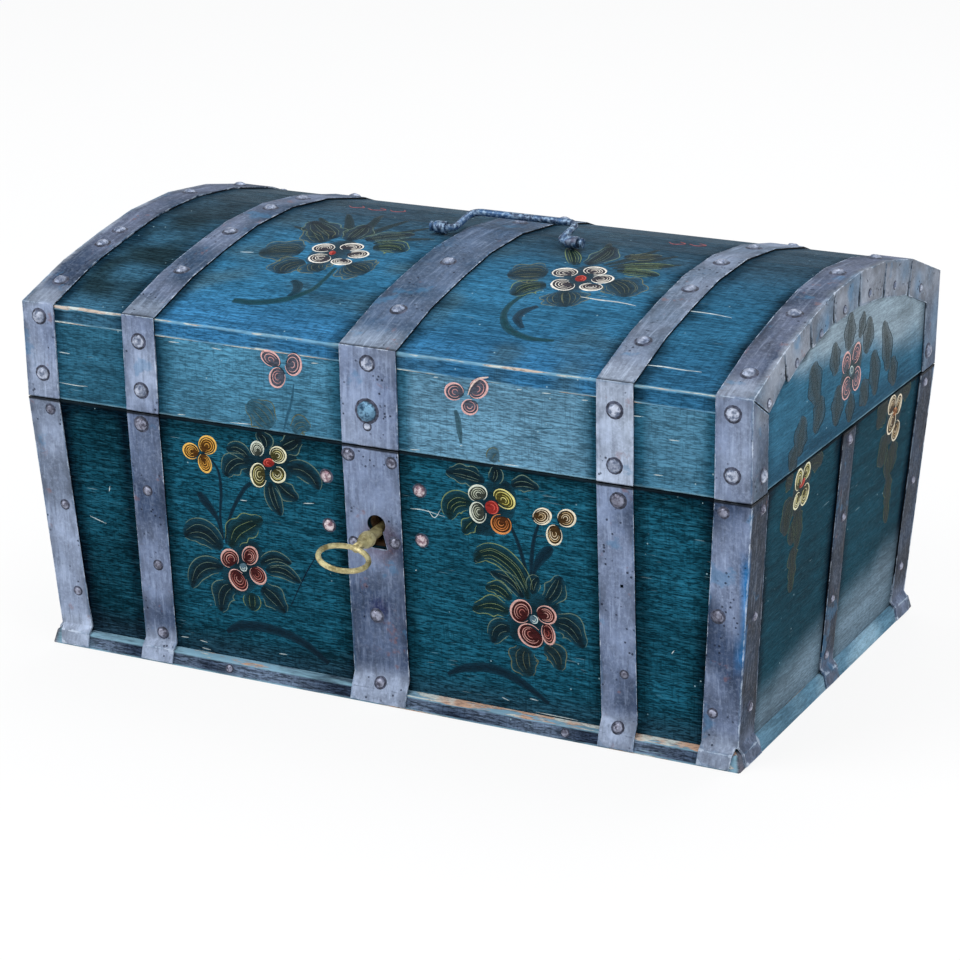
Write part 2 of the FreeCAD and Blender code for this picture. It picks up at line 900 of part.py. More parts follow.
def lock_cap():
    """Open-fronted iron case with the slot for the staple and the pin that carries the key."""
    outer = lock_box((-case_half, case_half), (-case_down, case_up), (0, case_depth + case_wall))
    inside = case_half - case_wall
    hollow = lock_box(
        (-inside, inside), (case_wall - case_down, case_up - case_wall), (0, case_depth))
    slot_left = -staple_left - staple_slot_clearance
    slot_right = staple_width - staple_left + staple_slot_clearance
    slot = lock_box((slot_left, slot_right), (case_up - 2 * case_wall, case_up + case_wall), (0, case_depth))
    pin_base = Vector(key_across, 0, case_floor - case_depth)
    pin = Part.makeCylinder(drill_pin_radius, key_bore_depth, pin_base)
    case = outer.cut(hollow).cut(slot)
    return in_lock(case.fuse(pin).removeSplitter())


def lock_bolt():
    """Sliding bolt with its talon, the notch that the key's bit turns in."""
    high = bolt_low + bolt_height
    back = bolt_float + bolt_thickness
    body = lock_box((-bolt_body_reach + key_across, bolt_tail_reach + key_across),
                    (bolt_low, high), (bolt_float, back))
    nose = lock_box((-bolt_nose_reach + key_across, key_across - bolt_body_reach),
                    (bolt_low, high), (back - bolt_nose_thickness, back))
    centre = key_across + talon_offset
    tip = math.hypot(key_bit_reach, key_bit_thickness / 2) + talon_clearance
    notch = lock_box((centre - talon_half, centre + talon_half), (0, tip), (0, case_depth))
    return in_lock(body.fuse(nose).cut(notch).removeSplitter())


def bolt_spring():
    """Leaf that presses on the bolt's upper edge from the side of the case."""
    side = case_half - case_wall
    bolt_top = bolt_low + bolt_height
    rise = case_up - case_wall - bolt_top
    path = [
        (side, bolt_top + rise * spring_foot_share),
        (side, bolt_top + rise * spring_bend_share),
        (side * spring_touch_share, bolt_top + spring_gap),
        (0, bolt_top + rise * spring_tip_share),
    ]
    outline = path + parallel_path(path, -spring_leaf)[::-1]
    near = case_floor - (case_depth - spring_width) / 2
    face = face_of([Vector(x, v, near) for x, v in outline])
    return in_lock(face.extrude(Vector(0, 0, -spring_width)))


def lock_rivet_places(rivets):
    for up in (rivet_up, -rivet_down):
        for x in (-rivet_across, rivet_across):
            point = Vector(x, up / math.cos(lean), 0)
            rivets.drive(lock_frame.multiply(FreeCAD.Placement(point, FreeCAD.Rotation())))


def lock_spot(v, c):
    """Front-to-back place of a point in the lock: up the wall and in from the plate."""
    point = lock_frame.multVec(Vector(0, v, case_floor - c))
    return (point.y, point.z)


def lid_staple():
    """Hasp plate on the inside of the lid's front rail and the staple that hangs from it."""
    seam_up = (lid_low - key_height) / math.cos(lean)
    run = unit(rail_foot, rail_head)
    plate_low = (rail_foot[0] + run[0] * hasp_low, rail_foot[1] + run[1] * hasp_low)
    plate_high = (rail_foot[0] + run[0] * hasp_high, rail_foot[1] + run[1] * hasp_high)
    plate_path = [plate_low, plate_high]
    plate_outline = plate_path + parallel_path(plate_path, -hasp_thickness)[::-1]
    plate = along_x(plate_outline, -hasp_left, hasp_right)
    web_high = (rail_foot[0] + run[0] * (hasp_low + hasp_web), rail_foot[1] + run[1] * (hasp_low + hasp_web))
    near = staple_stand_off
    far = staple_stand_off + staple_depth
    toe = staple_eye_low - staple_toe
    left = -staple_left
    right = staple_width - staple_left
    tongue = along_x([
        lock_spot(toe, near),
        lock_spot(toe, far),
        lock_spot(seam_up + hasp_low, far),
        web_high,
        plate_low,
        lock_spot(seam_up, near),
    ], left, right)
    eye_near = near + (staple_depth - staple_eye_depth) / 2
    eye = in_lock(lock_box(
        (left - staple_width, right + staple_width),
        (staple_eye_low, staple_eye_low + staple_eye_height),
        (eye_near, eye_near + staple_eye_depth)))
    return join([plate, tongue]).cut(eye)


# Key, with its own Z along the stem and its bit along X
def key_bow():
    """Ring forged with flats along its length and round its section."""
    sections = []
    for place in ring(1, 0, key_bow_round_sides):
        section = []
        for spot in ring(key_bow_tube, 0, key_bow_sides):
            out = key_bow_radius + spot.x
            section.append(Vector(out * place.x, spot.y, key_bow_distance + out * place.y))
        sections.append(section)
    return solid_through(sections, True)


def key():
    tip = case_floor - case_depth + key_end_gap
    collar = key_bead_start + key_bead_length
    bead_edge = (key_stem_radius + key_bead_radius) / 2
    neck_end = key_bow_distance - key_bow_radius
    shoulder = key_bead_length * key_bead_shoulder_share
    swell = key_bead_length * key_bead_round_share
    profile = [
        (key_stem_radius, tip),
        (key_stem_radius, key_bead_start),
        (bead_edge, key_bead_start + shoulder),
        (key_bead_radius, key_bead_start + swell),
        (key_bead_radius, collar - swell),
        (bead_edge, collar - shoulder),
        (key_neck_radius, collar + key_bead_length * key_neck_start_share),
        (key_neck_radius, neck_end),
    ]
    stem = solid_through([ring(r, z, key_stem_sides) for r, z in profile], False)
    bow = key_bow()
    bit_high = case_floor - key_bit_start
    half = key_bit_thickness / 2
    bit_root = (drill_pin_radius + key_stem_radius) / 2
    bit = box_between(
        Vector(bit_root, -half, bit_high - key_bit_length), Vector(key_bit_reach, half, bit_high))
    bore = Part.makeCylinder(drill_pin_radius + drill_pin_clearance, key_bore_depth, Vector(0, 0, tip))
    whole = stem.fuse([bow, bit]).cut(bore)
    whole.rotate(Vector(0, 0, 0), Vector(0, 0, 1), -key_turned)
    whole.translate(Vector(key_across, 0, 0))
    return in_lock(whole)


# Drop handle
def dome_height(y):
    """Height of the staves' outer faces at a place front to back."""
    for start, end in zip(dome[:-1], dome[1:]):
        if start[0] <= y <= end[0]:
            return between(start, end, (y - start[0]) / (end[0] - start[0]))[1]
    return arris_height


pivot_y = handle_pivot_back
pivot_z = dome_height(pivot_y) + handle_pivot_rise
eye_places = (-handle_leg_half - eye_out, handle_leg_half + eye_out)


def handle_eye(x):
    """Eye that the bail turns in, on a spike driven into the stave."""
    start = Vector(handle_across + x - eye_length / 2, pivot_y, pivot_z)
    along = Vector(1, 0, 0)
    collar = Part.makeCylinder(eye_radius, eye_length, start, along)
    bore = Part.makeCylinder(handle_rod + eye_clearance, eye_length, start, along)
    return join([collar, eye_shank(x)]).cut(bore)


def eye_shank(x):
    """Square spike below an eye, from the pivot down into the stave."""
    half = eye_spike / 2
    middle = handle_across + x
    tip = dome_height(pivot_y) - eye_spike_length
    low = Vector(middle - half, pivot_y - half, tip)
    return box_between(low, Vector(middle + half, pivot_y + half, pivot_z))


def rod_section(centre, along):
    """Eight-sided section of the bail, square to its run in the level plane."""
    sideways = Vector(0, 0, 1).cross(along)
    step = 2 * math.pi / handle_rod_sides
    points = []
    for i in range(handle_rod_sides):
        angle = (i + middle_share) * step
        across = sideways * (handle_rod * math.cos(angle))
        points.append(centre + across + Vector(0, 0, handle_rod * math.sin(angle)))
    return points


def bent_rod(points, radii):
    """Forged rod with round ends along straight runs, with a faceted bend at each inner point."""
    sections = []
    for i in range(1, len(points) - 1):
        along = (points[i] - points[i - 1]).normalize()
        onward = (points[i + 1] - points[i]).normalize()
        centre = points[i] + (onward - along) * radii[i - 1]
        for k in range(handle_bend_sides + 1):
            angle = math.radians(90) * k / handle_bend_sides
            way = along * math.cos(angle) + onward * math.sin(angle)
            spoke = along * math.sin(angle) - onward * math.cos(angle)
            sections.append(rod_section(centre + spoke * radii[i - 1], way))
    first = points[1] - points[0]
    last = points[-1] - points[-2]
    return join([
        solid_through(sections, False),
        Part.makeCylinder(handle_rod, first.Length - radii[0], points[0], first),
        Part.makeCylinder(handle_rod, last.Length - radii[-1], points[-1], last * -1),
    ])


def handle_bail():
    """Bail with its ends turned out through the eyes and upset so that they stay there."""
    end = handle_leg_half + handle_end_out
    leg = handle_leg_half
    route = [
        Vector(-end, 0, 0),
        Vector(-leg, 0, 0),
        Vector(-leg, handle_reach, 0),
        Vector(leg, handle_reach, 0),
        Vector(leg, 0, 0),
        Vector(end, 0, 0),
    ]
    rod = bent_rod(route, [handle_crank, handle_corner, handle_corner, handle_crank])
    along = Vector(1, 0, 0)
    knobs = [
        Part.makeCylinder(handle_knob_radius, handle_knob, Vector(-end - handle_knob / 2, 0, 0), along),
        Part.makeCylinder(handle_knob_radius, handle_knob, Vector(end - handle_knob / 2, 0, 0), along),
    ]
    bail = rod.fuse(knobs).removeSplitter()
    bail.rotate(Vector(0, 0, 0), along, handle_rest_angle)
    bail.translate(Vector(handle_across, pivot_y, pivot_z))
    return bail


def boss_place(drop):
    """Place on the lid's centre strap a distance below the boss."""
    face_length = math.dist(lid_strap_outer[0], lid_strap_outer[1])
    return lid_spot(0, boss_rise_share - drop / face_length, boss_across)


def touches(first, second):
    return first.BoundBox.intersect(second.BoundBox)


def with_holes(shape, holes):
    """Shape with the holes that reach it cut out."""
    near = [hole for hole in holes if touches(shape, hole)]
    if not near:
        return shape
    return shape.cut(near)


def export(name, shape):
    shape.exportStep("parts/" + name + ".step")
    print(name, len(shape.Solids), round(shape.Volume))


def main():
    os.makedirs("parts", exist_ok=True)
    across = Vector(1, 0, 0)
    depthways = Vector(0, 1, 0)

    large_nail = nail(nail_head_radius, nail_head_height, nail_shank, nail_length)
    large_hole = nail_shaft(nail_shank, nail_length)
    small_nail = nail(small_head_radius, small_head_height, small_shank, small_length)
    small_hole = nail_shaft(small_shank, small_length)
    long_nail = nail(small_head_radius, small_head_height, small_shank, plinth_nail_length)
    long_hole = nail_shaft(small_shank, plinth_nail_length)

    body_nails = Fasteners(large_nail, large_hole)
    body_nail_places(body_nails)
    plinth_nails = Fasteners(long_nail, long_hole)
    plinth_nail_places(plinth_nails)
    rivet_length = wall_normal + lock_plate + rivet_tail
    lock_rivets = Fasteners(
        rivet(rivet_head_radius, rivet_head_height, nail_shank, rivet_length, nail_sides),
        rivet_shaft(nail_shank, rivet_length))
    lock_rivet_places(lock_rivets)
    body_holes = body_nails.holes + plinth_nails.holes + lock_rivets.holes

    lid_nails = Fasteners(large_nail, large_hole)
    lid_nail_places(lid_nails)
    tab_nails = Fasteners(small_nail, small_hole)
    tab_nail_places(tab_nails)
    tab_nails.drive(boss_place(boss_radius + small_head_radius + boss_nail_gap))
    boss_length = strap + rail + hasp_thickness + boss_tail
    lid_boss = Fasteners(
        rivet(boss_radius, boss_rise, boss_shank, boss_length, boss_sides),
        rivet_shaft(boss_shank, boss_length))
    lid_boss.drive(boss_place(0))
    lid_holes = lid_nails.holes + tab_nails.holes + lid_boss.holes

    hole_for_key = keyhole()
    front = front_board()
    right_end = right_end_board()
    front_plinth = plinth_front()
    right_plinth = plinth_right()
    body = {
        "front_board": front.cut(hole_for_key),
        "back_board": mirrored(front, depthways),
        "left_end_board": mirrored(right_end, across),
        "right_end_board": right_end,
        "bottom_board": bottom_board(),
        "plinth_front": front_plinth,
        "plinth_back": mirrored(front_plinth, depthways),
        "plinth_left": mirrored(right_plinth, across),
        "plinth_right": right_plinth,
    }
    corner = corner_strap()
    side_strap = end_strap()
    body.update({
        "corner_strap_front_right": corner,
        "corner_strap_front_left": mirrored(corner, across),
        "corner_strap_back_right": mirrored(corner, depthways),
        "corner_strap_back_left": mirrored(mirrored(corner, across), depthways),
        "front_strap_left": front_strap(front_path, -mid_across, mid_width),
        "front_strap_right": front_strap(nailed_front_path, mid_across, mid_width),
        "lock_strap": front_strap(nailed_front_path, 0, centre_width).cut(hole_for_key),
        "end_strap_left": mirrored(side_strap, across),
        "end_strap_right": side_strap,
        "back_strap_centre": back_centre_strap(),
        "hinge_strap_left": hinge_strap(-mid_across),
        "hinge_strap_right": hinge_strap(mid_across),
        "lock_plate": plate_with_guides().cut(hole_for_key),
    })
    for name, shape in body.items():
        export(name, with_holes(shape, body_holes))

    export("hinge_pins", Part.makeCompound(hinge_pins()))
    export("body_nails", Part.makeCompound(body_nails.solids))
    export("plinth_nails", Part.makeCompound(plinth_nails.solids))
    export("lock_rivets", Part.makeCompound(lock_rivets.solids))
    export("lock_cap", lock_cap())
    export("bolt_spring", bolt_spring())
    export("lock_bolt", lock_bolt())
    export("key", key())

    right_gable = lid_right_gable()
    corner_lid = lid_corner_strap()
    lid = {
        "lid_front_rail": lid_front_rail(),
        "lid_back_rail": lid_back_rail(),
        "lid_left_gable": mirrored(right_gable, across),
        "lid_right_gable": right_gable,
        "lid_corner_strap_left": mirrored(corner_lid, across),
        "lid_corner_strap_right": corner_lid,
        "lid_strap_left": lid_hinge_strap(-mid_across),
        "lid_strap_right": lid_hinge_strap(mid_across),
        "lid_strap_centre": lid_band(-centre_width / 2, centre_width / 2),
        "lid_staple": lid_staple(),
    }
    for i in range(stave_count):
        lid["lid_stave_" + str(i + 1)] = lid_stave(i)
    eye_holes = [eye_shank(x) for x in eye_places]
    for name, shape in lid.items():
        export(name, with_holes(shape, lid_holes + eye_holes))
    export("lid_nails", Part.makeCompound(lid_nails.solids))
    export("tab_nails", Part.makeCompound(tab_nails.solids))
    export("lid_boss", Part.makeCompound(lid_boss.solids))
    export("handle_eyes", Part.makeCompound([handle_eye(x) for x in eye_places]))
    export("handle_bail", handle_bail())


main()
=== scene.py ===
import math
import random

import bmesh
import bpy
import numpy as np
from mathutils import Matrix, Vector, noise


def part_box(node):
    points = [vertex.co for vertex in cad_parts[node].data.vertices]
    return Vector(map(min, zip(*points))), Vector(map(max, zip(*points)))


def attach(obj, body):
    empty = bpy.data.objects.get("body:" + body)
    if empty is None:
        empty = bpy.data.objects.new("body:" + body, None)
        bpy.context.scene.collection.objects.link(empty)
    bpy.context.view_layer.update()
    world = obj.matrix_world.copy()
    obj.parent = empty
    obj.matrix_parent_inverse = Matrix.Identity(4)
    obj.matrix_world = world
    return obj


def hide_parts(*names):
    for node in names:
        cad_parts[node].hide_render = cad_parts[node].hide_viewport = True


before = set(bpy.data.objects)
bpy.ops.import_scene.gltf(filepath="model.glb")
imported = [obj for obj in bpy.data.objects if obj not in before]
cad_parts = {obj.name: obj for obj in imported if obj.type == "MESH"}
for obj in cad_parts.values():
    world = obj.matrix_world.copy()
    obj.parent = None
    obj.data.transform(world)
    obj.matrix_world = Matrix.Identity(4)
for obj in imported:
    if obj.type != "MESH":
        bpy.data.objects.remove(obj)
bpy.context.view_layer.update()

bl_info = {
    "name": "Painted dome-top box",
    "version": (1, 0, 0),
    "blender": (4, 5, 0),
    "location": "3D View > Sidebar > Painted box",
    "description": "Builds the painted wood, strap iron, nails and flowers of a dome-top box round its solid model",
    "category": "Object",
}

MM = 0.001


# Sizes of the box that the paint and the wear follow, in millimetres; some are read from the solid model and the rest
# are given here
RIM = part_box("front_board")[1].z / MM
HALF_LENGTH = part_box("front_board")[1].x / MM
HALF_DEPTH = -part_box("front_board")[0].y / MM
FRONT_LEAN = 15.2
END_LEAN = 10.6
FOOT_HALF_DEPTH = HALF_DEPTH - FRONT_LEAN
FOOT_HALF_LENGTH = HALF_LENGTH - END_LEAN
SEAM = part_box("lid_front_rail")[0].z / MM
MID_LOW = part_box("front_strap_right")[0].x / MM
MID_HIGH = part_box("front_strap_right")[1].x / MM
CENTRE_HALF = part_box("lock_strap")[1].x / MM
LID_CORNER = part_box("lid_corner_strap_right")[0].x / MM
END_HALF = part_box("end_strap_right")[1].y / MM
ARRIS = 246.0
ARRIS_HALF = 176.5
FLANGE = 25.0
TAB = 21.0
CORNER_STRAP = 23.0
END_FLANGE = 27.0
DOME_RISE = 36.5
DOME = [(-ARRIS_HALF, ARRIS)] + [
    (ARRIS_HALF * across, ARRIS + DOME_RISE * rise)
    for across, rise in (
        (-0.72, 0.455), (-0.47, 0.72), (-0.235, 0.925), (0.045, 1.0), (0.335, 0.885), (0.645, 0.6))
] + [(ARRIS_HALF, ARRIS)]
DOME_RUNS = [math.dist(a, b) for a, b in zip(DOME[:-1], DOME[1:])]
LID_LEAN = (ARRIS_HALF - HALF_DEPTH) / (ARRIS - SEAM)
PAINT_BORDER = 0.8
FACE_SPAN = 400.0
THREADS = (1250.0, 230.0, 2.0, 0.6)


# Colours are written as they look on the box, from 0 to 255
def tint(red, green, blue):
    """Colour as light values, from the ones that the eye sees."""
    out = []
    for value in (red, green, blue):
        c = value / 255
        out.append(c / 12.92 if c <= 0.04045 else ((c + 0.055) / 1.055) ** 2.4)
    return out


def opaque(colour):
    return (colour[0], colour[1], colour[2], 1.0)


def blend(first, second, share):
    return [a + (b - a) * share for a, b in zip(first, second)]


def tint_of(colour):
    """A colour property as a plain list."""
    return [colour[0], colour[1], colour[2]]


def palette():
    return bpy.context.scene.painted_box_colours


def ease(value):
    """Smooth step from 0 to 1."""
    t = min(1.0, max(0.0, value))
    return t * t * (3 - 2 * t)


def cloud(u, v, size, seed):
    """Slow change over a surface, about -1 to 1."""
    return noise.noise(Vector((u / size, v / size, seed)))


def colour_property(name, description, colour):
    return bpy.props.FloatVectorProperty(
        name=name, description=description, subtype="COLOR", size=3, min=0, max=1, default=tint(*colour))


def length_property(name, description, millimetres):
    return bpy.props.FloatProperty(
        name=name, description=description, default=millimetres * MM, unit="LENGTH", precision=5)


class PaintedBoxColours(bpy.types.PropertyGroup):
    shadow_blue: colour_property("Shadow blue", "Dark paint beside the straps", (3, 18, 30))
    deep_teal: colour_property("Deep teal", "Main paint of the body", (14, 56, 70))
    # Bright teal is painted light: the lit middle of the body's panels
    lit_panel_teal: colour_property("Bright teal", "Rubbed middle of the body's panels", (24, 80, 100))
    lid_shadow: colour_property("Lid shadow", "Dark paint on the lid beside the straps", (14, 40, 56))
    lid_teal: colour_property("Lid teal", "Main paint of the lid's front", (40, 88, 110))
    # Lid bright is painted light on the middles of the lid front's panels
    lid_bright: colour_property("Lid bright", "Light paint of the lid's front", (80, 134, 162))
    dome_blue: colour_property("Dome blue", "Paint of the dome", (46, 100, 132))
    # Dome grey is a painted sheen on the dome towards the back
    dome_sheen_grey: colour_property("Dome grey", "Paint of the dome towards the back", (46, 64, 76))
    # Gable grey is a painted reflection: the sheen high on the gables
    gable_sheen_grey: colour_property("Gable grey", "Faded paint on the gables", (126, 143, 154))
    # End grey is a painted reflection of the floor, low on the ends
    end_reflection_grey: colour_property("End grey", "Faded paint low on the ends", (100, 120, 134))
    plinth_blue: colour_property("Plinth blue", "Paint of the plinth", (98, 114, 136))
    bare_wood: colour_property("Bare wood", "Wood where the paint is worn off", (192, 158, 136))
    scratch: colour_property("Scratch", "Pale scratches and scuffs", (150, 182, 192))
    strap_grey: colour_property("Strap grey", "Main colour of the strap iron", (116, 130, 158))
    strap_dark: colour_property("Strap dark", "Dirt and old paint on the strap iron", (56, 72, 100))
    strap_light: colour_property("Strap light", "Rubbed strap iron", (182, 194, 212))
    strap_blue: colour_property("Strap blue", "Old blue paint left on the straps", (58, 118, 158))
    rust: colour_property("Rust", "Rust on the iron", (128, 88, 82))
    nail_steel: colour_property("Nail steel", "Bright nail heads of the lid", (196, 204, 222))
    nail_dull: colour_property("Nail dull", "Painted and rusted nail heads of the body", (154, 158, 178))
    nail_pink: colour_property("Nail pink", "Rivets that hold the lock", (222, 208, 212))
    brass: colour_property("Brass", "Key", (214, 202, 150))
    handle_blue: colour_property("Handle blue", "Worn blue on the drop handle", (56, 92, 132))
    inside_wood: colour_property("Inside wood", "Unpainted wood inside the box", (150, 120, 92))


class PaintedBoxSizes(bpy.types.PropertyGroup):
    board_round: length_property("Board edge", "Width of the rounded edge on boards", 0.6)
    strap_round: length_property("Strap edge", "Width of the rounded edge on straps", 0.35)
    board_cell: length_property("Board cell", "Step of the mesh that holds the paint's colours", 6.5)
    strap_cell: length_property("Strap cell", "Step of the mesh on the straps", 4.5)
    hammering: length_property("Hammering", "Depth of the hammer marks on the straps", 0.22)
    fill_lift: length_property("Fill lift", "Thickness of the paint in petals and leaves", 0.12)
    line_lift: length_property("Line lift", "Thickness of the painted lines", 0.3)


class PaintedBoxStage(bpy.types.PropertyGroup):
    lens: bpy.props.FloatProperty(name="Lens", description="Focal length in millimetres", default=112.77)
    azimuth: bpy.props.FloatProperty(
        name="Azimuth", description="Turn of the camera to the right", default=math.radians(26.257), unit="ROTATION")
    elevation: bpy.props.FloatProperty(
        name="Elevation", description="Camera's angle above the level", default=math.radians(18.052), unit="ROTATION")
    roll: bpy.props.FloatProperty(
        name="Roll", description="Camera's turn about its own axis", default=math.radians(0.101), unit="ROTATION")
    camera_place: bpy.props.FloatVectorProperty(
        name="Camera place", description="Where the camera stands", default=(0.8746, -1.7888, 0.7561), unit="LENGTH",
        subtype="TRANSLATION")
    floor_half: bpy.props.FloatProperty(
        name="Floor", description="Half the floor's width", default=6.0, unit="LENGTH")


# Material recipes
GAP_DARK = tint(6, 10, 16)


class Recipe:
    """A material under construction, with short ways to add its nodes."""

    def __init__(self, name):
        self.material = bpy.data.materials.new(name)
        self.material.use_nodes = True
        self.tree = self.material.node_tree
        self.shader = self.tree.nodes["Principled BSDF"]
        self.place = self.add("ShaderNodeTexCoord").outputs["Object"]

    def add(self, kind, **settings):
        node = self.tree.nodes.new(kind)
        for key, value in settings.items():
            setattr(node, key, value)
        return node

    def join(self, source, target):
        if isinstance(source, bpy.types.NodeSocket):
            self.tree.links.new(source, target)
        else:
            target.default_value = source

    def coloured(self, colour):
        """A list of numbers as an opaque colour; a socket stays as it is."""
        return opaque(colour) if isinstance(colour, (list, tuple)) else colour

    def stretched(self, vector, scales):
        node = self.add("ShaderNodeMapping")
        self.join(vector, node.inputs["Vector"])
        node.inputs["Scale"].default_value = scales
        return node.outputs["Vector"]

    def noise(self, vector, scale, detail=2.0, roughness=0.5):
        node = self.add("ShaderNodeTexNoise")
        self.join(vector, node.inputs["Vector"])
        node.inputs["Scale"].default_value = scale
        node.inputs["Detail"].default_value = detail
        node.inputs["Roughness"].default_value = roughness
        return node.outputs["Fac"]

    def grained(self, along, across, run, detail=2.0, roughness=0.5):
        """Noise drawn out along one axis; the two pitches are in marks per metre."""
        scales = [run if axis == along else across for axis in "XYZ"]
        return self.noise(self.stretched(self.place, scales), 1.0, detail, roughness)

    def cells(self, vector, scale):
        node = self.add("ShaderNodeTexVoronoi")
        self.join(vector, node.inputs["Vector"])
        node.inputs["Scale"].default_value = scale
        return node.outputs["Distance"]

    def ramp(self, value, low, high, out_low=0.0, out_high=1.0):
        node = self.add("ShaderNodeMapRange", interpolation_type="SMOOTHSTEP", clamp=True)
        self.join(value, node.inputs["Value"])
        for key, number in (("From Min", low), ("From Max", high), ("To Min", out_low), ("To Max", out_high)):
            node.inputs[key].default_value = number
        return node.outputs["Result"]

    def patches(self, scale, detail, low, high, roughness=0.5, out_low=0.0, out_high=1.0):
        """Spots of a noise over the object, between two of its levels."""
        return self.ramp(self.noise(self.place, scale, detail, roughness), low, high, out_low, out_high)

    def sum(self, *terms):
        """Sum of value and weight pairs and bare numbers."""
        total = None
        for term in terms:
            if isinstance(term, tuple):
                node = self.add("ShaderNodeMath", operation="MULTIPLY_ADD")
                self.join(term[0], node.inputs[0])
                self.join(term[1], node.inputs[1])
                self.join(0.0 if total is None else total, node.inputs[2])
            else:
                node = self.add("ShaderNodeMath", operation="ADD")
                self.join(term, node.inputs[0])
                self.join(0.0 if total is None else total, node.inputs[1])
            total = node.outputs[0]
        return total

    def product(self, *terms):
        total = terms[0]
        for term in terms[1:]:
            node = self.add("ShaderNodeMath", operation="MULTIPLY")
            self.join(total, node.inputs[0])
            self.join(term, node.inputs[1])
            total = node.outputs[0]
        return total

    def mix(self, share, first, second):
        node = self.add("ShaderNodeMix", data_type="RGBA")
        self.join(share, node.inputs["Factor"])
        self.join(self.coloured(first), node.inputs["A"])
        self.join(self.coloured(second), node.inputs["B"])
        return node.outputs["Result"]

    def scaled(self, colour, factor):
        """Colour made darker or lighter by a value."""
        node = self.add("ShaderNodeVectorMath", operation="SCALE")
        self.join(colour[:3] if isinstance(colour, (list, tuple)) else colour, node.inputs[0])
        self.join(factor, node.inputs["Scale"])
        return node.outputs[0]

    def attribute(self, name, output="Fac"):
        return self.add("ShaderNodeAttribute", attribute_name=name).outputs[output]

    def axis(self, name):
        node = self.add("ShaderNodeSeparateXYZ")
        self.join(self.place, node.inputs[0])
        return node.outputs[name]

    def far_from(self, value, middle):
        """How far a value is from a given one."""
        node = self.add("ShaderNodeMath", operation="ABSOLUTE")
        self.join(self.sum(value, -middle), node.inputs[0])
        return node.outputs[0]

    def finish(self, colour, roughness, height=None, relief=0.0, metallic=0.0, sheen=0.5):
        self.join(self.coloured(colour), self.shader.inputs["Base Color"])
        self.join(roughness, self.shader.inputs["Roughness"])
        self.join(metallic, self.shader.inputs["Metallic"])
        self.shader.inputs["Specular IOR Level"].default_value = sheen
        if height is not None:
            bump = self.add("ShaderNodeBump")
            self.join(height, bump.inputs["Height"])
            bump.inputs["Distance"].default_value = relief
            bump.inputs["Strength"].default_value = 1.0
            self.tree.links.new(bump.outputs["Normal"], self.shader.inputs["Normal"])
        return self.material


def made(name, recipe, *settings):
    """Material of that name, made the first time it is asked for."""
    return bpy.data.materials.get("dressed_" + name) or recipe("dressed_" + name, *settings)


def seam_shadow(r):
    """Dark line where the lid meets the body."""
    ragged = (r.noise(r.place, 120.0, 2.0), 0.0012)
    return r.ramp(r.sum(ragged, (r.far_from(r.axis("Z"), (RIM - 0.3) * MM), 1.0)), 0.0014, 0.0026, 0.92, 0.0)


def bare_boards(r, along):
    """Colour of unpainted softwood, with its grain along the boards."""
    base = tint_of(palette().inside_wood)
    grain = r.grained(along, 260.0, 9.0, 4.0, 0.6)
    colour = r.mix(r.ramp(grain, 0.35, 0.68), r.scaled(base, 0.5), base)
    return r.mix(r.patches(9.0, 3.0, 0.45, 0.7, out_high=0.5), colour, tint(92, 72, 54)), grain


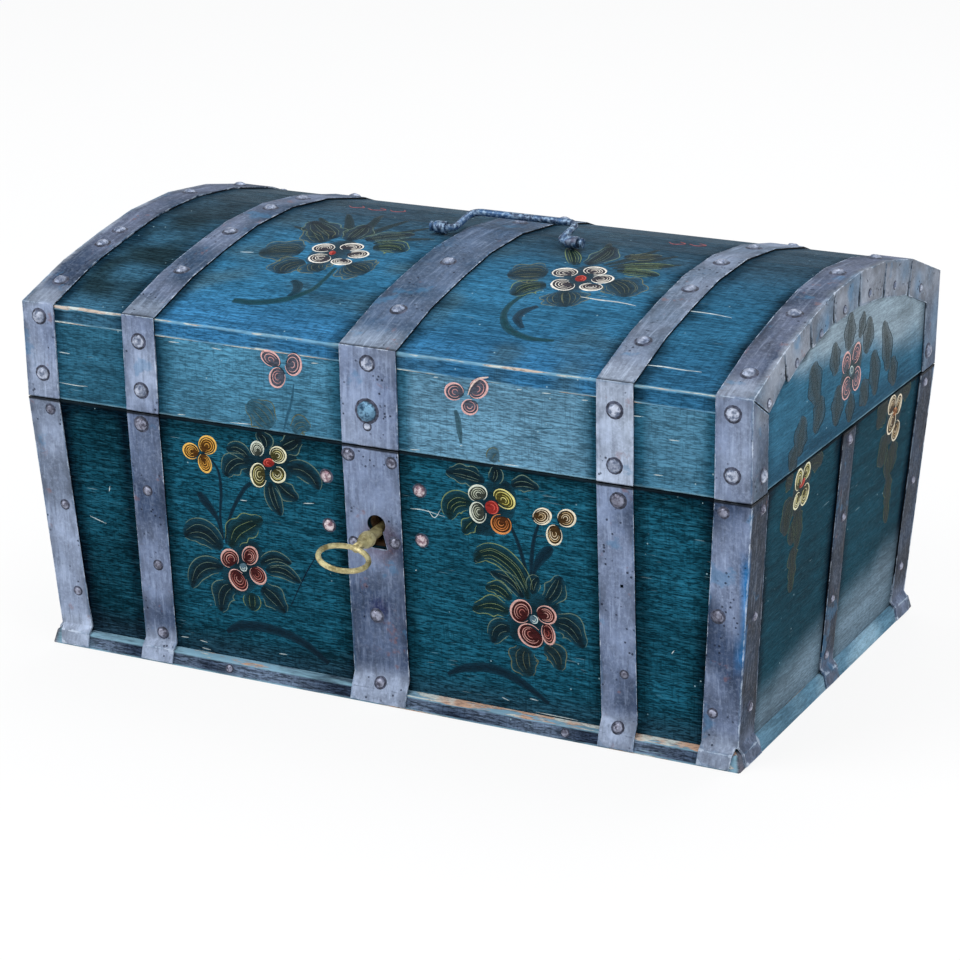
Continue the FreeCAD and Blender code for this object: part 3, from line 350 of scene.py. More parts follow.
def painted_wood(name, along, depth):
    """Brushed paint over wood: thread-like marks along the boards with painted highlights on their crests, scuffs, and
    wear at the edges under a painted highlight.
    """
    colours = palette()
    r = Recipe(name)
    ground = r.attribute("ground", "Color")
    edge = r.attribute("edge_mm")
    wear = r.attribute("wear")
    threads = r.grained(along, *THREADS)
    lines = r.grained(along, 860.0, 70.0, 2.0)
    weave = r.grained(along, 90.0, 900.0, 1.0)
    bands = r.grained(along, 130.0, 7.0, 3.0)
    clouds = r.noise(r.place, 13.0, 4.0)
    tone = r.sum((r.ramp(bands, 0.25, 0.75), 0.45), (r.ramp(clouds, 0.3, 0.7), 0.45), 0.72)
    colour = r.scaled(ground, tone)
    colour = r.mix(r.ramp(threads, 0.44, 0.6, 0.0, depth), colour, r.scaled(ground, 0.2))
    colour = r.mix(r.ramp(lines, 0.5, 0.68, 0.0, 0.8 * depth), colour, r.scaled(ground, 0.26))
    # Painted highlight: the crests of the brush marks are painted lighter
    crest_highlight = r.mix(0.06, r.scaled(ground, 2.3), tint(130, 180, 196))
    colour = r.mix(r.ramp(lines, 0.46, 0.3, 0.0, 0.2 + 0.34 * depth), colour, crest_highlight)
    colour = r.mix(r.ramp(weave, 0.52, 0.74, 0.0, 0.6 * depth), colour, r.scaled(ground, 0.36))
    scuffs = r.ramp(r.grained(along, 1000.0, 44.0), 0.7, 0.76)
    scuffs = r.product(scuffs, r.patches(17.0, 2.0, 0.5, 0.62), 0.55)
    colour = r.mix(scuffs, colour, tint_of(colours.scratch))
    specks = r.ramp(r.cells(r.place, 120.0), 0.05, 0.085, 1.0, 0.0)
    specks = r.product(specks, r.patches(31.0, 1.0, 0.54, 0.6), 0.7)
    colour = r.mix(specks, colour, tint_of(colours.scratch))
    ragged = r.grained(along, 115.0, 15.0, 4.0, 0.68)
    worn = r.sum((wear, 1.0), (ragged, 2.4), (edge, -0.34), -1.45)
    worn_bare = r.ramp(worn, 0.36, 0.48)
    # Worn edges take a painted highlight too: a pale cyan line and a lighter band along them
    edge_wear_highlight = r.product(r.ramp(edge, 0.3, 1.8, 0.75, 0.0), r.ramp(wear, 0.3, 0.6), r.ramp(ragged, 0.3, 0.55))
    colour = r.mix(edge_wear_highlight, colour, tint(150, 196, 216))
    colour = r.mix(r.ramp(worn, 0.12, 0.32, 0.0, 0.62), colour, r.mix(0.5, r.scaled(ground, 1.5), tint(140, 190, 212)))
    on_lid = r.ramp(r.axis("Z"), RIM * MM, SEAM * MM, 0.0, 0.4)
    chalky = r.sum(on_lid, r.patches(60.0, 3.0, 0.42, 0.6))
    bare = r.mix(chalky, tint_of(colours.bare_wood), tint(196, 204, 200))
    bare = r.mix(r.ramp(threads, 0.5, 0.62, 0.0, 0.5), bare, tint(74, 66, 70))
    colour = r.mix(worn_bare, colour, bare)
    inner = r.attribute("depth_mm")
    colour = r.mix(r.product(seam_shadow(r), r.ramp(inner, 0.8, 2.0, 1.0, 0.0)), colour, GAP_DARK)
    colour = r.mix(r.ramp(inner, 2.0, 5.0), colour, bare_boards(r, along)[0])
    roughness = r.sum((threads, 0.2), (worn_bare, 0.3), 0.3)
    height = r.sum((threads, -0.6), (lines, -0.3), (worn_bare, -0.8))
    return r.finish(colour, roughness, height, 0.0004, 0.0, 0.005)


def strap_iron(name, run_down):
    """Wrought iron under rubbed old paint: streaks along the strap, small pits, rust and bright edges."""
    colours = palette()
    r = Recipe(name)
    ground = r.attribute("ground", "Color")
    edge = r.attribute("edge_mm")
    wear = r.attribute("wear")
    mottle = r.noise(r.place, 38.0, 6.0, 0.62)
    grain = r.noise(r.place, 430.0, 4.0, 0.7)
    marks = r.noise(r.place, 150.0, 5.0, 0.7)
    streaks = r.noise(r.stretched(r.place, (420.0, 420.0 if run_down else 30.0, 30.0)), 1.0, 3.0, 0.6)
    colour = r.scaled(ground, r.sum((r.ramp(mottle, 0.3, 0.7), 0.5), (r.ramp(marks, 0.3, 0.7), 0.24), 0.66))
    colour = r.mix(r.ramp(streaks, 0.5, 0.68, 0.0, 0.55), colour, r.scaled(ground, 0.5))
    pale = r.mix(0.3, r.scaled(ground, 1.7), tint_of(colours.strap_light))
    colour = r.mix(r.ramp(streaks, 0.46, 0.3, 0.0, 0.5), colour, pale)
    colour = r.mix(r.ramp(grain, 0.44, 0.7, 0.0, 0.4), colour, pale)
    rubbed = r.sum((wear, 0.6), (mottle, 1.1), (marks, 0.7), (edge, -0.05), -1.1)
    shine = r.mix(0.4, r.scaled(ground, 1.6), tint_of(colours.strap_light))
    colour = r.mix(r.ramp(rubbed, 0.0, 0.5, 0.0, 0.75), colour, shine)
    stain = r.product(r.ramp(edge, 9.0, 1.5), r.patches(44.0, 4.0, 0.44, 0.6, 0.6), 0.55)
    colour = r.mix(stain, colour, r.scaled(ground, 0.42))
    left_paint = r.patches(33.0, 5.0, 0.61, 0.67, 0.6)
    colour = r.mix(r.product(left_paint, 0.4), colour, tint_of(colours.strap_blue))
    rusty = r.patches(58.0, 5.0, 0.62, 0.7, 0.65)
    colour = r.mix(r.product(rusty, 0.45), colour, tint_of(colours.rust))
    pits = r.ramp(r.cells(r.place, 260.0), 0.14, 0.26, 1.0, 0.0)
    pits = r.product(pits, r.patches(62.0, 3.0, 0.53, 0.62))
    colour = r.mix(r.product(pits, 0.85), colour, tint(24, 34, 54))
    outer = r.ramp(wear, 0.0, 0.25)
    bright = r.product(outer, r.ramp(r.sum((edge, -1.0), (marks, 3.2), -1.15), 0.0, 0.35))
    colour = r.mix(r.product(bright, 0.7), colour, tint(200, 212, 228))
    old_edge = r.ramp(r.sum((edge, -0.5), (r.noise(r.place, 52.0, 3.0), 3.4), -0.9), 0.3, 0.8)
    colour = r.mix(r.product(old_edge, outer, 0.3), colour, tint(50, 96, 130))
    colour = r.mix(outer, ground, colour)
    colour = r.mix(seam_shadow(r), colour, GAP_DARK)
    roughness = r.sum((marks, 0.3), (bright, -0.12), 0.4)
    height = r.sum((mottle, 0.6), (marks, 0.5), (streaks, -0.25), (grain, 0.16), (pits, -0.8))
    return r.finish(colour, roughness, height, 0.0006, 0.08, 0.12)


def nail_iron(name, steel, dark):
    """Hammered nail heads, bright on top and darkened at the rim by painted shade."""
    r = Recipe(name)
    crown = r.attribute("crown")
    spots = r.noise(r.place, 320.0, 4.0, 0.6)
    large = r.noise(r.place, 60.0, 2.0)
    colour = r.mix(r.ramp(spots, 0.36, 0.6), dark, steel)
    colour = r.mix(r.ramp(large, 0.52, 0.62, 0.0, 0.5), colour, dark)
    colour = r.mix(r.ramp(r.axis("Z"), (ARRIS + 1) * MM, (ARRIS + 4) * MM, 0.0, 0.55), colour, tint(92, 106, 132))
    # Painted shade: each head darkens towards its rim, low on the crown
    colour = r.mix(r.ramp(crown, 0.0, 0.55, 0.8, 0.0), colour, tint(22, 28, 42))
    return r.finish(colour, r.sum((spots, 0.25), 0.22), spots, 0.0005, 0.45)


def grime(name):
    """Painted shadow: a dark ring round the nail heads."""
    r = Recipe(name)
    spots = r.noise(r.place, 300.0, 4.0)
    colour = r.mix(r.ramp(spots, 0.4, 0.65), tint(26, 32, 50), tint(74, 80, 102))
    return r.finish(colour, 0.7, spots, 0.0002)


def dark_iron(name):
    """Plain dark forged iron of the lock and the hinges."""
    r = Recipe(name)
    mottle = r.noise(r.place, 90.0, 5.0, 0.6)
    fine = r.noise(r.place, 500.0, 3.0)
    colour = r.mix(r.ramp(mottle, 0.35, 0.66), tint(46, 46, 52), tint(92, 92, 98))
    colour = r.mix(r.ramp(fine, 0.55, 0.75, 0.0, 0.5), colour, tint(98, 76, 62))
    return r.finish(colour, r.sum((mottle, 0.3), 0.34), r.sum((mottle, 0.6), (fine, 0.2)), 0.0005, 0.6)


def handle_iron(name):
    """Iron rod with worn blue paint, speckled with painted highlights."""
    colours = palette()
    r = Recipe(name)
    patches = r.noise(r.place, 70.0, 5.0, 0.62)
    fine = r.noise(r.place, 420.0, 3.0)
    colour = r.mix(r.ramp(patches, 0.42, 0.58), tint(38, 56, 84), tint_of(colours.handle_blue))
    # Painted highlight: pale blue flecks over the rod
    colour = r.mix(r.ramp(fine, 0.44, 0.66, 0.0, 0.8), colour, tint(146, 174, 200))
    colour = r.mix(r.patches(46.0, 3.0, 0.6, 0.68, out_high=0.6), colour, tint(74, 62, 66))
    return r.finish(colour, r.sum((fine, 0.3), 0.24), r.sum((patches, 0.6), (fine, 0.3)), 0.0006, 0.45)


def brass_key(name):
    """Old yellow brass, dull in the hollows, with painted highlights."""
    colours = palette()
    r = Recipe(name)
    dull = r.noise(r.place, 120.0, 4.0, 0.6)
    fine = r.noise(r.place, 700.0, 3.0)
    colour = r.mix(r.ramp(dull, 0.36, 0.62), tint(140, 126, 82), tint_of(colours.brass))
    # Painted highlight: pale yellow flecks on the brass
    colour = r.mix(r.ramp(fine, 0.55, 0.75, 0.0, 0.5), colour, tint(224, 212, 164))
    return r.finish(colour, r.sum((dull, 0.3), 0.2), r.sum((dull, 0.5), (fine, 0.2)), 0.0004, 0.35)


def inside_wood(name):
    """Unpainted softwood of the bottom."""
    r = Recipe(name)
    colour, grain = bare_boards(r, "X")
    return r.finish(colour, 0.72, grain, 0.0004, 0.0, 0.2)


def flower_paint(name, along):
    """Thick oil paint laid on with a small brush; its colours are in the strokes."""
    r = Recipe(name)
    paint = r.attribute("paint", "Color")
    dry = r.attribute("dry")
    uv = r.add("ShaderNodeUVMap", uv_map="stroke").outputs["UV"]
    bristles = r.noise(r.stretched(uv, (0.16, 2.6, 1.0)), 1.0, 3.0, 0.6)
    skips = r.noise(r.place, 620.0, 3.0, 0.6)
    threads = r.product(r.ramp(r.grained(along, *THREADS), 0.44, 0.6), r.ramp(dry, 0.15, 0.4, 0.6, 0.1))
    colour = r.scaled(paint, r.ramp(bristles, 0.3, 0.7, 0.62, 1.25))
    colour = r.mix(threads, colour, r.scaled(paint, 0.3))
    under = r.mix(r.ramp(skips, 0.4, 0.6), tint(20, 34, 42), tint(46, 52, 50))
    bare = r.ramp(r.sum((skips, 1.5), (bristles, 0.9), (dry, 0.55), -1.62), 0.0, 0.22)
    colour = r.mix(r.product(bare, 0.8), colour, under)
    return r.finish(colour, 0.42, r.sum((bristles, 0.7), (bare, -0.5)), 0.0004, 0.0, 0.04)


# Dressing of a solid: its own edges rounded and its faces cut fine enough to carry paint and wear
def merged_copy(node):
    """A solid's triangles joined up again into its flat faces."""
    bm = bmesh.new()
    bm.from_mesh(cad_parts[node].data)
    bmesh.ops.remove_doubles(bm, verts=bm.verts, dist=2e-6)
    bmesh.ops.dissolve_limit(bm, angle_limit=0.01, verts=bm.verts, edges=bm.edges)
    return bm


def ridges_of(bm, shortest, sharpest=0.3):
    """Outer edges that stand out and are longer than a nail hole is wide."""
    found = []
    for e in bm.edges:
        if len(e.link_faces) == 2 and e.is_convex and e.calc_face_angle(0) > sharpest and e.calc_length() > shortest:
            found.append(e)
    return found


def everything(bm):
    return bm.verts[:] + bm.edges[:] + bm.faces[:]


def cut_fine(bm, axis, cell):
    """Cuts every face at even steps along an axis."""
    values = [v.co[axis] for v in bm.verts]
    low, high = min(values), max(values)
    steps = max(1, round((high - low) / cell))
    normal = Vector((0, 0, 0))
    normal[axis] = 1
    for i in range(1, steps):
        place = normal * (low + (high - low) * i / steps)
        bmesh.ops.bisect_plane(bm, geom=everything(bm), dist=1e-6, plane_co=place, plane_no=normal)


def edge_distances(bm, lines):
    """Distance of each vertex from the nearest of the lines, in millimetres."""
    points = np.array([v.co for v in bm.verts])
    best = np.full(len(points), 1.0)
    for start, end in lines:
        a, run = np.array(start), np.array(end) - np.array(start)
        t = np.clip((points - a) @ run / (run @ run), 0, 1)
        best = np.minimum(best, np.linalg.norm(points - a - t[:, None] * run, axis=1))
    return best / MM


def dress(node, name, body, material, rounding, cell, axes, ground, wear, hammering=0.0):
    """New piece in a solid's place, with rounded edges and its paint and wear stored on its vertices."""
    bm = merged_copy(node)
    ridges = ridges_of(bm, 0.005)
    lines = [(e.verts[0].co.copy(), e.verts[1].co.copy()) for e in ridges]
    bmesh.ops.bevel(
        bm, geom=ridges, offset=rounding, offset_type="OFFSET", segments=2, profile=0.5, affect="EDGES",
        material=-1, clamp_overlap=True)
    bmesh.ops.triangulate(bm, faces=[f for f in bm.faces if len(f.verts) > 4])
    for axis in axes:
        cut_fine(bm, axis, cell)
    bm.normal_update()
    if hammering:
        for v in bm.verts:
            depth = 0.5 + 0.5 * noise.noise(v.co * 70) + 0.25 * noise.noise(v.co * 210)
            v.co -= v.normal * hammering * min(1, max(0, depth))
    distances = edge_distances(bm, lines)
    edge_layer = bm.verts.layers.float.new("edge_mm")
    wear_layer = bm.verts.layers.float.new("wear")
    depth_layer = bm.verts.layers.float.new("depth_mm")
    ground_layer = bm.verts.layers.float_color.new("ground")
    for v, distance in zip(bm.verts, distances):
        v[edge_layer] = distance
        x, y, z = v.co / MM
        v[wear_layer] = wear(x, y, z)
        v[depth_layer] = below_paint(x, y, z)
        v[ground_layer] = opaque(ground(x, y, z))
    return finished(bm, name, body, [material], [node], 30)


def placed(bm, name, materials):
    """Object made of a bmesh and put into the scene."""
    mesh = bpy.data.meshes.new(name)
    bm.to_mesh(mesh)
    bm.free()
    for material in materials:
        mesh.materials.append(material)
    piece = bpy.data.objects.new(name, mesh)
    bpy.context.scene.collection.objects.link(piece)
    return piece


def finished(bm, name, body, materials, nodes, sharp_degrees):
    """Turns a bmesh into a piece that rides on a body and stands for solids."""
    for f in bm.faces:
        f.smooth = True
    piece = placed(bm, name, materials)
    piece.data.set_sharp_from_angle(angle=math.radians(sharp_degrees))
    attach(piece, body)
    if nodes:
        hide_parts(*nodes)
    return piece


# Ground colours of the painted boards
def from_straps(x, corner):
    """Distance of a place along the box from the nearest strap."""
    side = abs(x)
    return max(0.0, min(
        side - CENTRE_HALF if side < (CENTRE_HALF + MID_LOW) / 2 else (MID_LOW - side if side < MID_LOW else max(
            0.0, side - MID_HIGH)),
        corner - side if side > MID_HIGH else 999.0))


def front_reach(z):
    """How far the body's front stands out at a height."""
    return FOOT_HALF_DEPTH + (HALF_DEPTH - FOOT_HALF_DEPTH) * z / RIM


def end_reach(z):
    return FOOT_HALF_LENGTH + (HALF_LENGTH - FOOT_HALF_LENGTH) * z / RIM


def lid_reach(z):
    return HALF_DEPTH + LID_LEAN * (z - SEAM)


def front_ground(x, y, z):
    c = palette()
    corner = end_reach(z) - CORNER_STRAP
    # Painted shade darkens the paint beside the straps, under the rim and near the foot
    side = 0.3 + 0.7 * ease(from_straps(x, corner) / 13)
    top = ease((RIM - z) / 16)
    low = ease((z - 8) / 36)
    glow = side * (0.45 + 0.55 * top) * (0.5 + 0.5 * low) + 0.22 * cloud(x, z, 40, 1.7)
    if x > 0:
        glow += 0.12
    if abs(x) > MID_HIGH:
        glow -= 0.3 if x < 0 else 0.16
    colour = blend(c.shadow_blue, c.deep_teal, ease(glow * 1.6))
    # Painted light: the lit middle of each panel turns bright teal
    colour = blend(colour, c.lit_panel_teal, ease((glow - 0.55) * 2.2))
    # Painted reflection of the floor: the paint turns greyer towards the foot
    return blend(colour, tint(56, 84, 104), 0.4 * ease((34 - z) / 26) * side)


def back_ground(x, y, z):
    c = palette()
    return blend(front_ground(x, y, z), c.deep_teal, 0.5)


def end_ground(x, y, z):
    c = palette()
    edge = front_reach(z) - END_FLANGE
    # Painted shade darkens the paint beside the straps and under the rim
    side = ease(min(abs(y) - END_HALF, edge - abs(y)) / 18)
    glow = side * (0.5 + 0.5 * ease((RIM - z) / 18)) + 0.2 * cloud(y, z, 40, 5.1)
    colour = blend(c.shadow_blue, c.deep_teal, ease(glow * 1.5))
    # Painted reflection of the floor: the ends turn grey towards the foot
    low_reflection = ease((64 - z + 0.1 * y + 6 * cloud(y, 0, 30, 2.0)) / 34)
    return blend(colour, c.end_reflection_grey, low_reflection * (0.5 + 0.5 * side))


def plinth_ground(x, y, z):
    c = palette()
    shift = cloud(x + y, z, 30, 8.3)
    if abs(x) > FOOT_HALF_LENGTH + 1:
        if abs(y) > FOOT_HALF_DEPTH - 1:
            return blend(tint(120, 108, 110), tint(84, 84, 96), ease(0.5 + 1.1 * shift))
        return blend(tint(126, 156, 174), tint(84, 120, 142), ease(0.5 + 1.1 * shift))
    return blend(c.plinth_blue, tint(48, 60, 80), ease(0.5 + 1.1 * shift))


def lid_front_ground(x, y, z):
    c = palette()
    # Painted shade darkens the lid front beside the straps and under the arris; the lit middles take painted light
    side = 0.3 + 0.7 * ease(from_straps(x, LID_CORNER) / 14)
    top = ease((ARRIS + 1 - z) / 16)
    glow = side * (0.5 + 0.5 * top) + 0.24 * cloud(x, z, 44, 3.3)
    colour = blend(c.lid_shadow, c.lid_teal, ease(glow * 1.7))
    lit = ease((glow - 0.4) * 1.6)
    if abs(x) > MID_HIGH:
        lit *= 0.4 if x > 0 else 0.1
    elif x < 0:
        lit *= 0.7
    return blend(colour, c.lid_bright if x < 0 else tint(94, 136, 160), lit)


def lid_back_ground(x, y, z):
    c = palette()
    # The lid's back rail takes the same painted sheen as the dome
    return blend(lid_front_ground(x, y, z), c.dome_sheen_grey, 0.7)


def dome_place(y):
    """Distance over the dome from the front arris to a place front to back."""
    done = 0.0
    for start, end, run in zip(DOME[:-1], DOME[1:], DOME_RUNS):
        if y <= end[0]:
            return done + run * (y - start[0]) / (end[0] - start[0])
        done += run
    return done


def dome_ground(x, y, z):
    c = palette()
    place = dome_place(y)
    # Painted shade darkens the dome beside the straps
    side = 0.2 + 0.8 * ease(from_straps(x, LID_CORNER) / (13 + 9 * cloud(x, place, 22, 2.9)))
    glow = side + 0.5 * cloud(x, place, 34, 6.2)
    blue = blend(tint(50, 106, 146), c.dome_blue, ease(place / 60))
    if x > MID_HIGH:
        blue = blend(blue, tint(36, 82, 108), 0.6)
    elif x < -MID_HIGH:
        blue = blend(tint(26, 46, 54), tint(48, 86, 108), ease(0.5 + 1.5 * cloud(x, place, 26, 9.4)))
    else:
        blue = blend(blue, tint(64, 88, 96), 0.6 * ease(1.6 * cloud(x, place, 30, 4.7)))
    # Painted sheen: the dome turns grey towards the back
    blue = blend(blue, c.dome_sheen_grey, ease((place - 90) / 110) * 0.85)
    return blend(c.lid_shadow, blue, ease(glow * 1.2))


def gable_ground(x, y, z):
    c = palette()
    # Painted reflection: the gable turns pale grey towards the top
    high = ease((z - 220 + 0.16 * y + 7 * cloud(y, z, 24, 5.8)) / 24)
    colour = blend(c.gable_sheen_grey, tint(46, 92, 116), 1 - high)
    colour = blend(colour, tint(28, 60, 80), ease((206 - z) / 24) * 0.7)
    # Painted shade darkens the gable beside the flanges
    side = ease((ARRIS_HALF - FLANGE - abs(y)) / 16)
    colour = blend(c.lid_shadow, colour, 0.4 + 0.6 * side)
    # Painted shade: near-black where the gable lies under the tabs, so the slits between them look dark
    return blend(tint(5, 9, 14), colour, ease((dome_depth(y, z) - TAB + 2.5) / 3.5))


def dome_depth(y, z):
    """How far a place on the gable lies below the dome's outline."""
    best = 999.0
    for start, end, run in zip(DOME[:-1], DOME[1:], DOME_RUNS):
        best = min(best, ((z - start[1]) * (start[0] - end[0]) + (y - start[0]) * (end[1] - start[1])) / run)
    return best


def below_paint(x, y, z):
    """How deep a place lies under the painted outside of the box, in millimetres."""
    if z < (RIM + SEAM) / 2:
        return min(front_reach(z) - abs(y), end_reach(z) - abs(x))
    return min(HALF_LENGTH - abs(x), lid_reach(z) - abs(y), dome_depth(y, z))


# Ground colours of the straps
# Painted shade: near-black on the cut sides of the straps
STRAP_SIDE_SHADE = tint(7, 11, 19)


def wall_of(x, y, z):
    """Whether a place lies on the cut side of a strap, below its outer face."""
    if z < SEAM:
        front, side = front_reach(z), end_reach(z)
        if abs(x) < side - 0.3:
            return z > 26 and -0.5 < -y - front < 1.2
        return z > 26 and -0.5 < abs(x) - side < 1.2 and -y < front
    depth = dome_depth(y, z)
    if abs(x) > HALF_LENGTH - 0.3:
        return depth > 1 and abs(x) < HALF_LENGTH + 1.2 and y > -ARRIS_HALF
    return -1.2 < depth < 0.4 if y > -ARRIS_HALF else -0.5 < -y - lid_reach(z) < 1.2


def body_strap_ground(x, y, z):
    c = palette()
    if wall_of(x, y, z):
        return STRAP_SIDE_SHADE
    if abs(x) > HALF_LENGTH - 14 and y > -front_reach(z) + 0.4:
        colour = blend(tint(28, 46, 68), tint(14, 28, 46), ease(0.5 + cloud(y, z, 26, 4.4)))
        return blend(colour, c.strap_grey, 0.5 * ease((26 - z) / 12))
    rubbed = (0.58 if x > MID_LOW - 4 else 0.7) + 1.3 * cloud(x, z, 34, 2.6)
    colour = blend(c.strap_dark, c.strap_grey, ease(rubbed))
    if x < -MID_HIGH - 6:
        colour = blend(colour, c.strap_light, 0.25)
    if abs(x) < CENTRE_HALF + 1:
        colour = blend(colour, c.strap_dark, 0.75 * ease((110 - z) / 30) * ease((z - 14) / 14))
    elif x < 0:
        colour = blend(colour, c.strap_dark, 0.6 * ease((z - 60) / 60) if x > -MID_HIGH - 6 else 0.0)
    stain = ease((11 - math.hypot(x - 1, z - 67)) / 8)
    colour = blend(colour, tint(30, 34, 78), 0.8 * stain)
    rusty = ease((20 - math.hypot(x - 4, z - 116)) / 12)
    colour = blend(colour, tint(84, 62, 74), 0.6 * rusty)
    if x > HALF_LENGTH - 16 and y < -FOOT_HALF_DEPTH:
        bright = ease((x - end_reach(z) + 3) / 3) * ease((150 - z) / 16)
        colour = blend(colour, tint(24, 120, 186), 0.8 * bright * ease((z - 64) / 16))
    return blend(colour, c.strap_light, 0.35 * ease((28 - z) / 14))


def lid_strap_ground(x, y, z):
    c = palette()
    if wall_of(x, y, z):
        return STRAP_SIDE_SHADE
    if y < -ARRIS_HALF + 3 and z < ARRIS + 1:
        if abs(x) > HALF_LENGTH + 0.4 and y > -ARRIS_HALF - 1:
            return tint(96, 108, 130)
        light = 0.1 if abs(x) > MID_HIGH + 6 else (0.62 if x > CENTRE_HALF else 0.1)
        return blend(c.strap_grey, c.strap_light, light + 0.3 * cloud(x, z, 30, 3.9))
    if abs(x) > HALF_LENGTH - 0.4:
        # Painted reflection: the straps on the gables turn paler towards the top, as the gables do
        worn = ease((z - 214) / 34)
        pale = blend(tint(64, 78, 98), tint(126, 133, 145), worn)
        return blend(pale, tint(96, 118, 140), ease(0.2 + 1.4 * cloud(y, z, 22, 7.4)))
    dull = blend(tint(40, 64, 90), tint(98, 110, 134), ease(0.46 + 1.2 * cloud(x, y, 30, 1.3)))
    if abs(x) < CENTRE_HALF + 1:
        dull = blend(dull, tint(38, 68, 96), 0.55)
    elif abs(x) > MID_HIGH + 6:
        dull = blend(dull, tint(44, 46, 66), 0.4)
    elif x > 0:
        dull = blend(dull, tint(128, 142, 160), 0.35)
    return blend(dull, c.strap_light, 0.35 * ease((-150 - y) / 20))


def rim_wear(x, y, z):
    return 0.42 if z > RIM - 6 else 0.12


def plinth_wear(x, y, z):
    return 0.36 if abs(x) > FOOT_HALF_LENGTH + 1 else (0.84 if x > 0 else 0.58)


def gable_wear(x, y, z):
    return 0.58 if z < SEAM + 5 else 0.15


def lid_rail_wear(x, y, z):
    return 0.5 if z < SEAM + 6 else (0.68 if z > ARRIS - 10 else 0.1)


def stave_wear(x, y, z):
    return 0.86 if y < -ARRIS_HALF + 4 else 0.14


def strap_wear(x, y, z):
    """Straps are rubbed lighter at the feet and on the dome, and not at all on their cut sides."""
    if wall_of(x, y, z):
        return 0.0
    if z < 24:
        return 0.62
    return 0.5 if z > ARRIS else 0.3


# Painting by strokes: a place on a painted face is given by two lengths in millimetres
def body_front(u, v):
    return Vector((u, -front_reach(v), v)), Vector(
        (0, -RIM, FOOT_HALF_DEPTH - HALF_DEPTH)).normalized()


def lid_front(u, v):
    return Vector((u, -lid_reach(v), v)), Vector((0, -1, -LID_LEAN)).normalized()


def dome_top(u, v):
    done = 0.0
    for start, end, run in zip(DOME[:-1], DOME[1:], DOME_RUNS):
        if v <= done + run or end is DOME[-1]:
            share = (v - done) / run
            y, z = (a + (b - a) * share for a, b in zip(start, end))
            return Vector((u, y, z)), Vector((0, start[1] - end[1], end[0] - start[0])).normalized()
        done += run


def right_gable(u, v):
    return Vector((HALF_LENGTH, u, v)), Vector((1, 0, 0))


def right_end(u, v):
    return Vector((end_reach(v), u, v)), Vector(
        (RIM, 0, FOOT_HALF_LENGTH - HALF_LENGTH)).normalized()


def smooth_line(points, share):
    """Point and direction on a smooth line through the given points."""
    spans = len(points) - 1
    i = min(spans - 1, int(share * spans))
    t = share * spans - i
    p1, p2 = Vector(points[i]), Vector(points[i + 1])
    p0 = Vector(points[i - 1]) if i else p1 * 2 - p2
    p3 = Vector(points[i + 2]) if i + 2 <= spans else p2 * 2 - p1
    place = 0.5 * (2 * p1 + (p2 - p0) * t + (2 * p0 - 5 * p1 + 4 * p2 - p3) * t * t
                   + (3 * p1 - p0 - 3 * p2 + p3) * t ** 3)
    way = 0.5 * ((p2 - p0) + 2 * (2 * p0 - 5 * p1 + 4 * p2 - p3) * t + 3 * (3 * p1 - p0 - 3 * p2 + p3) * t * t)
    return place, way.normalized()


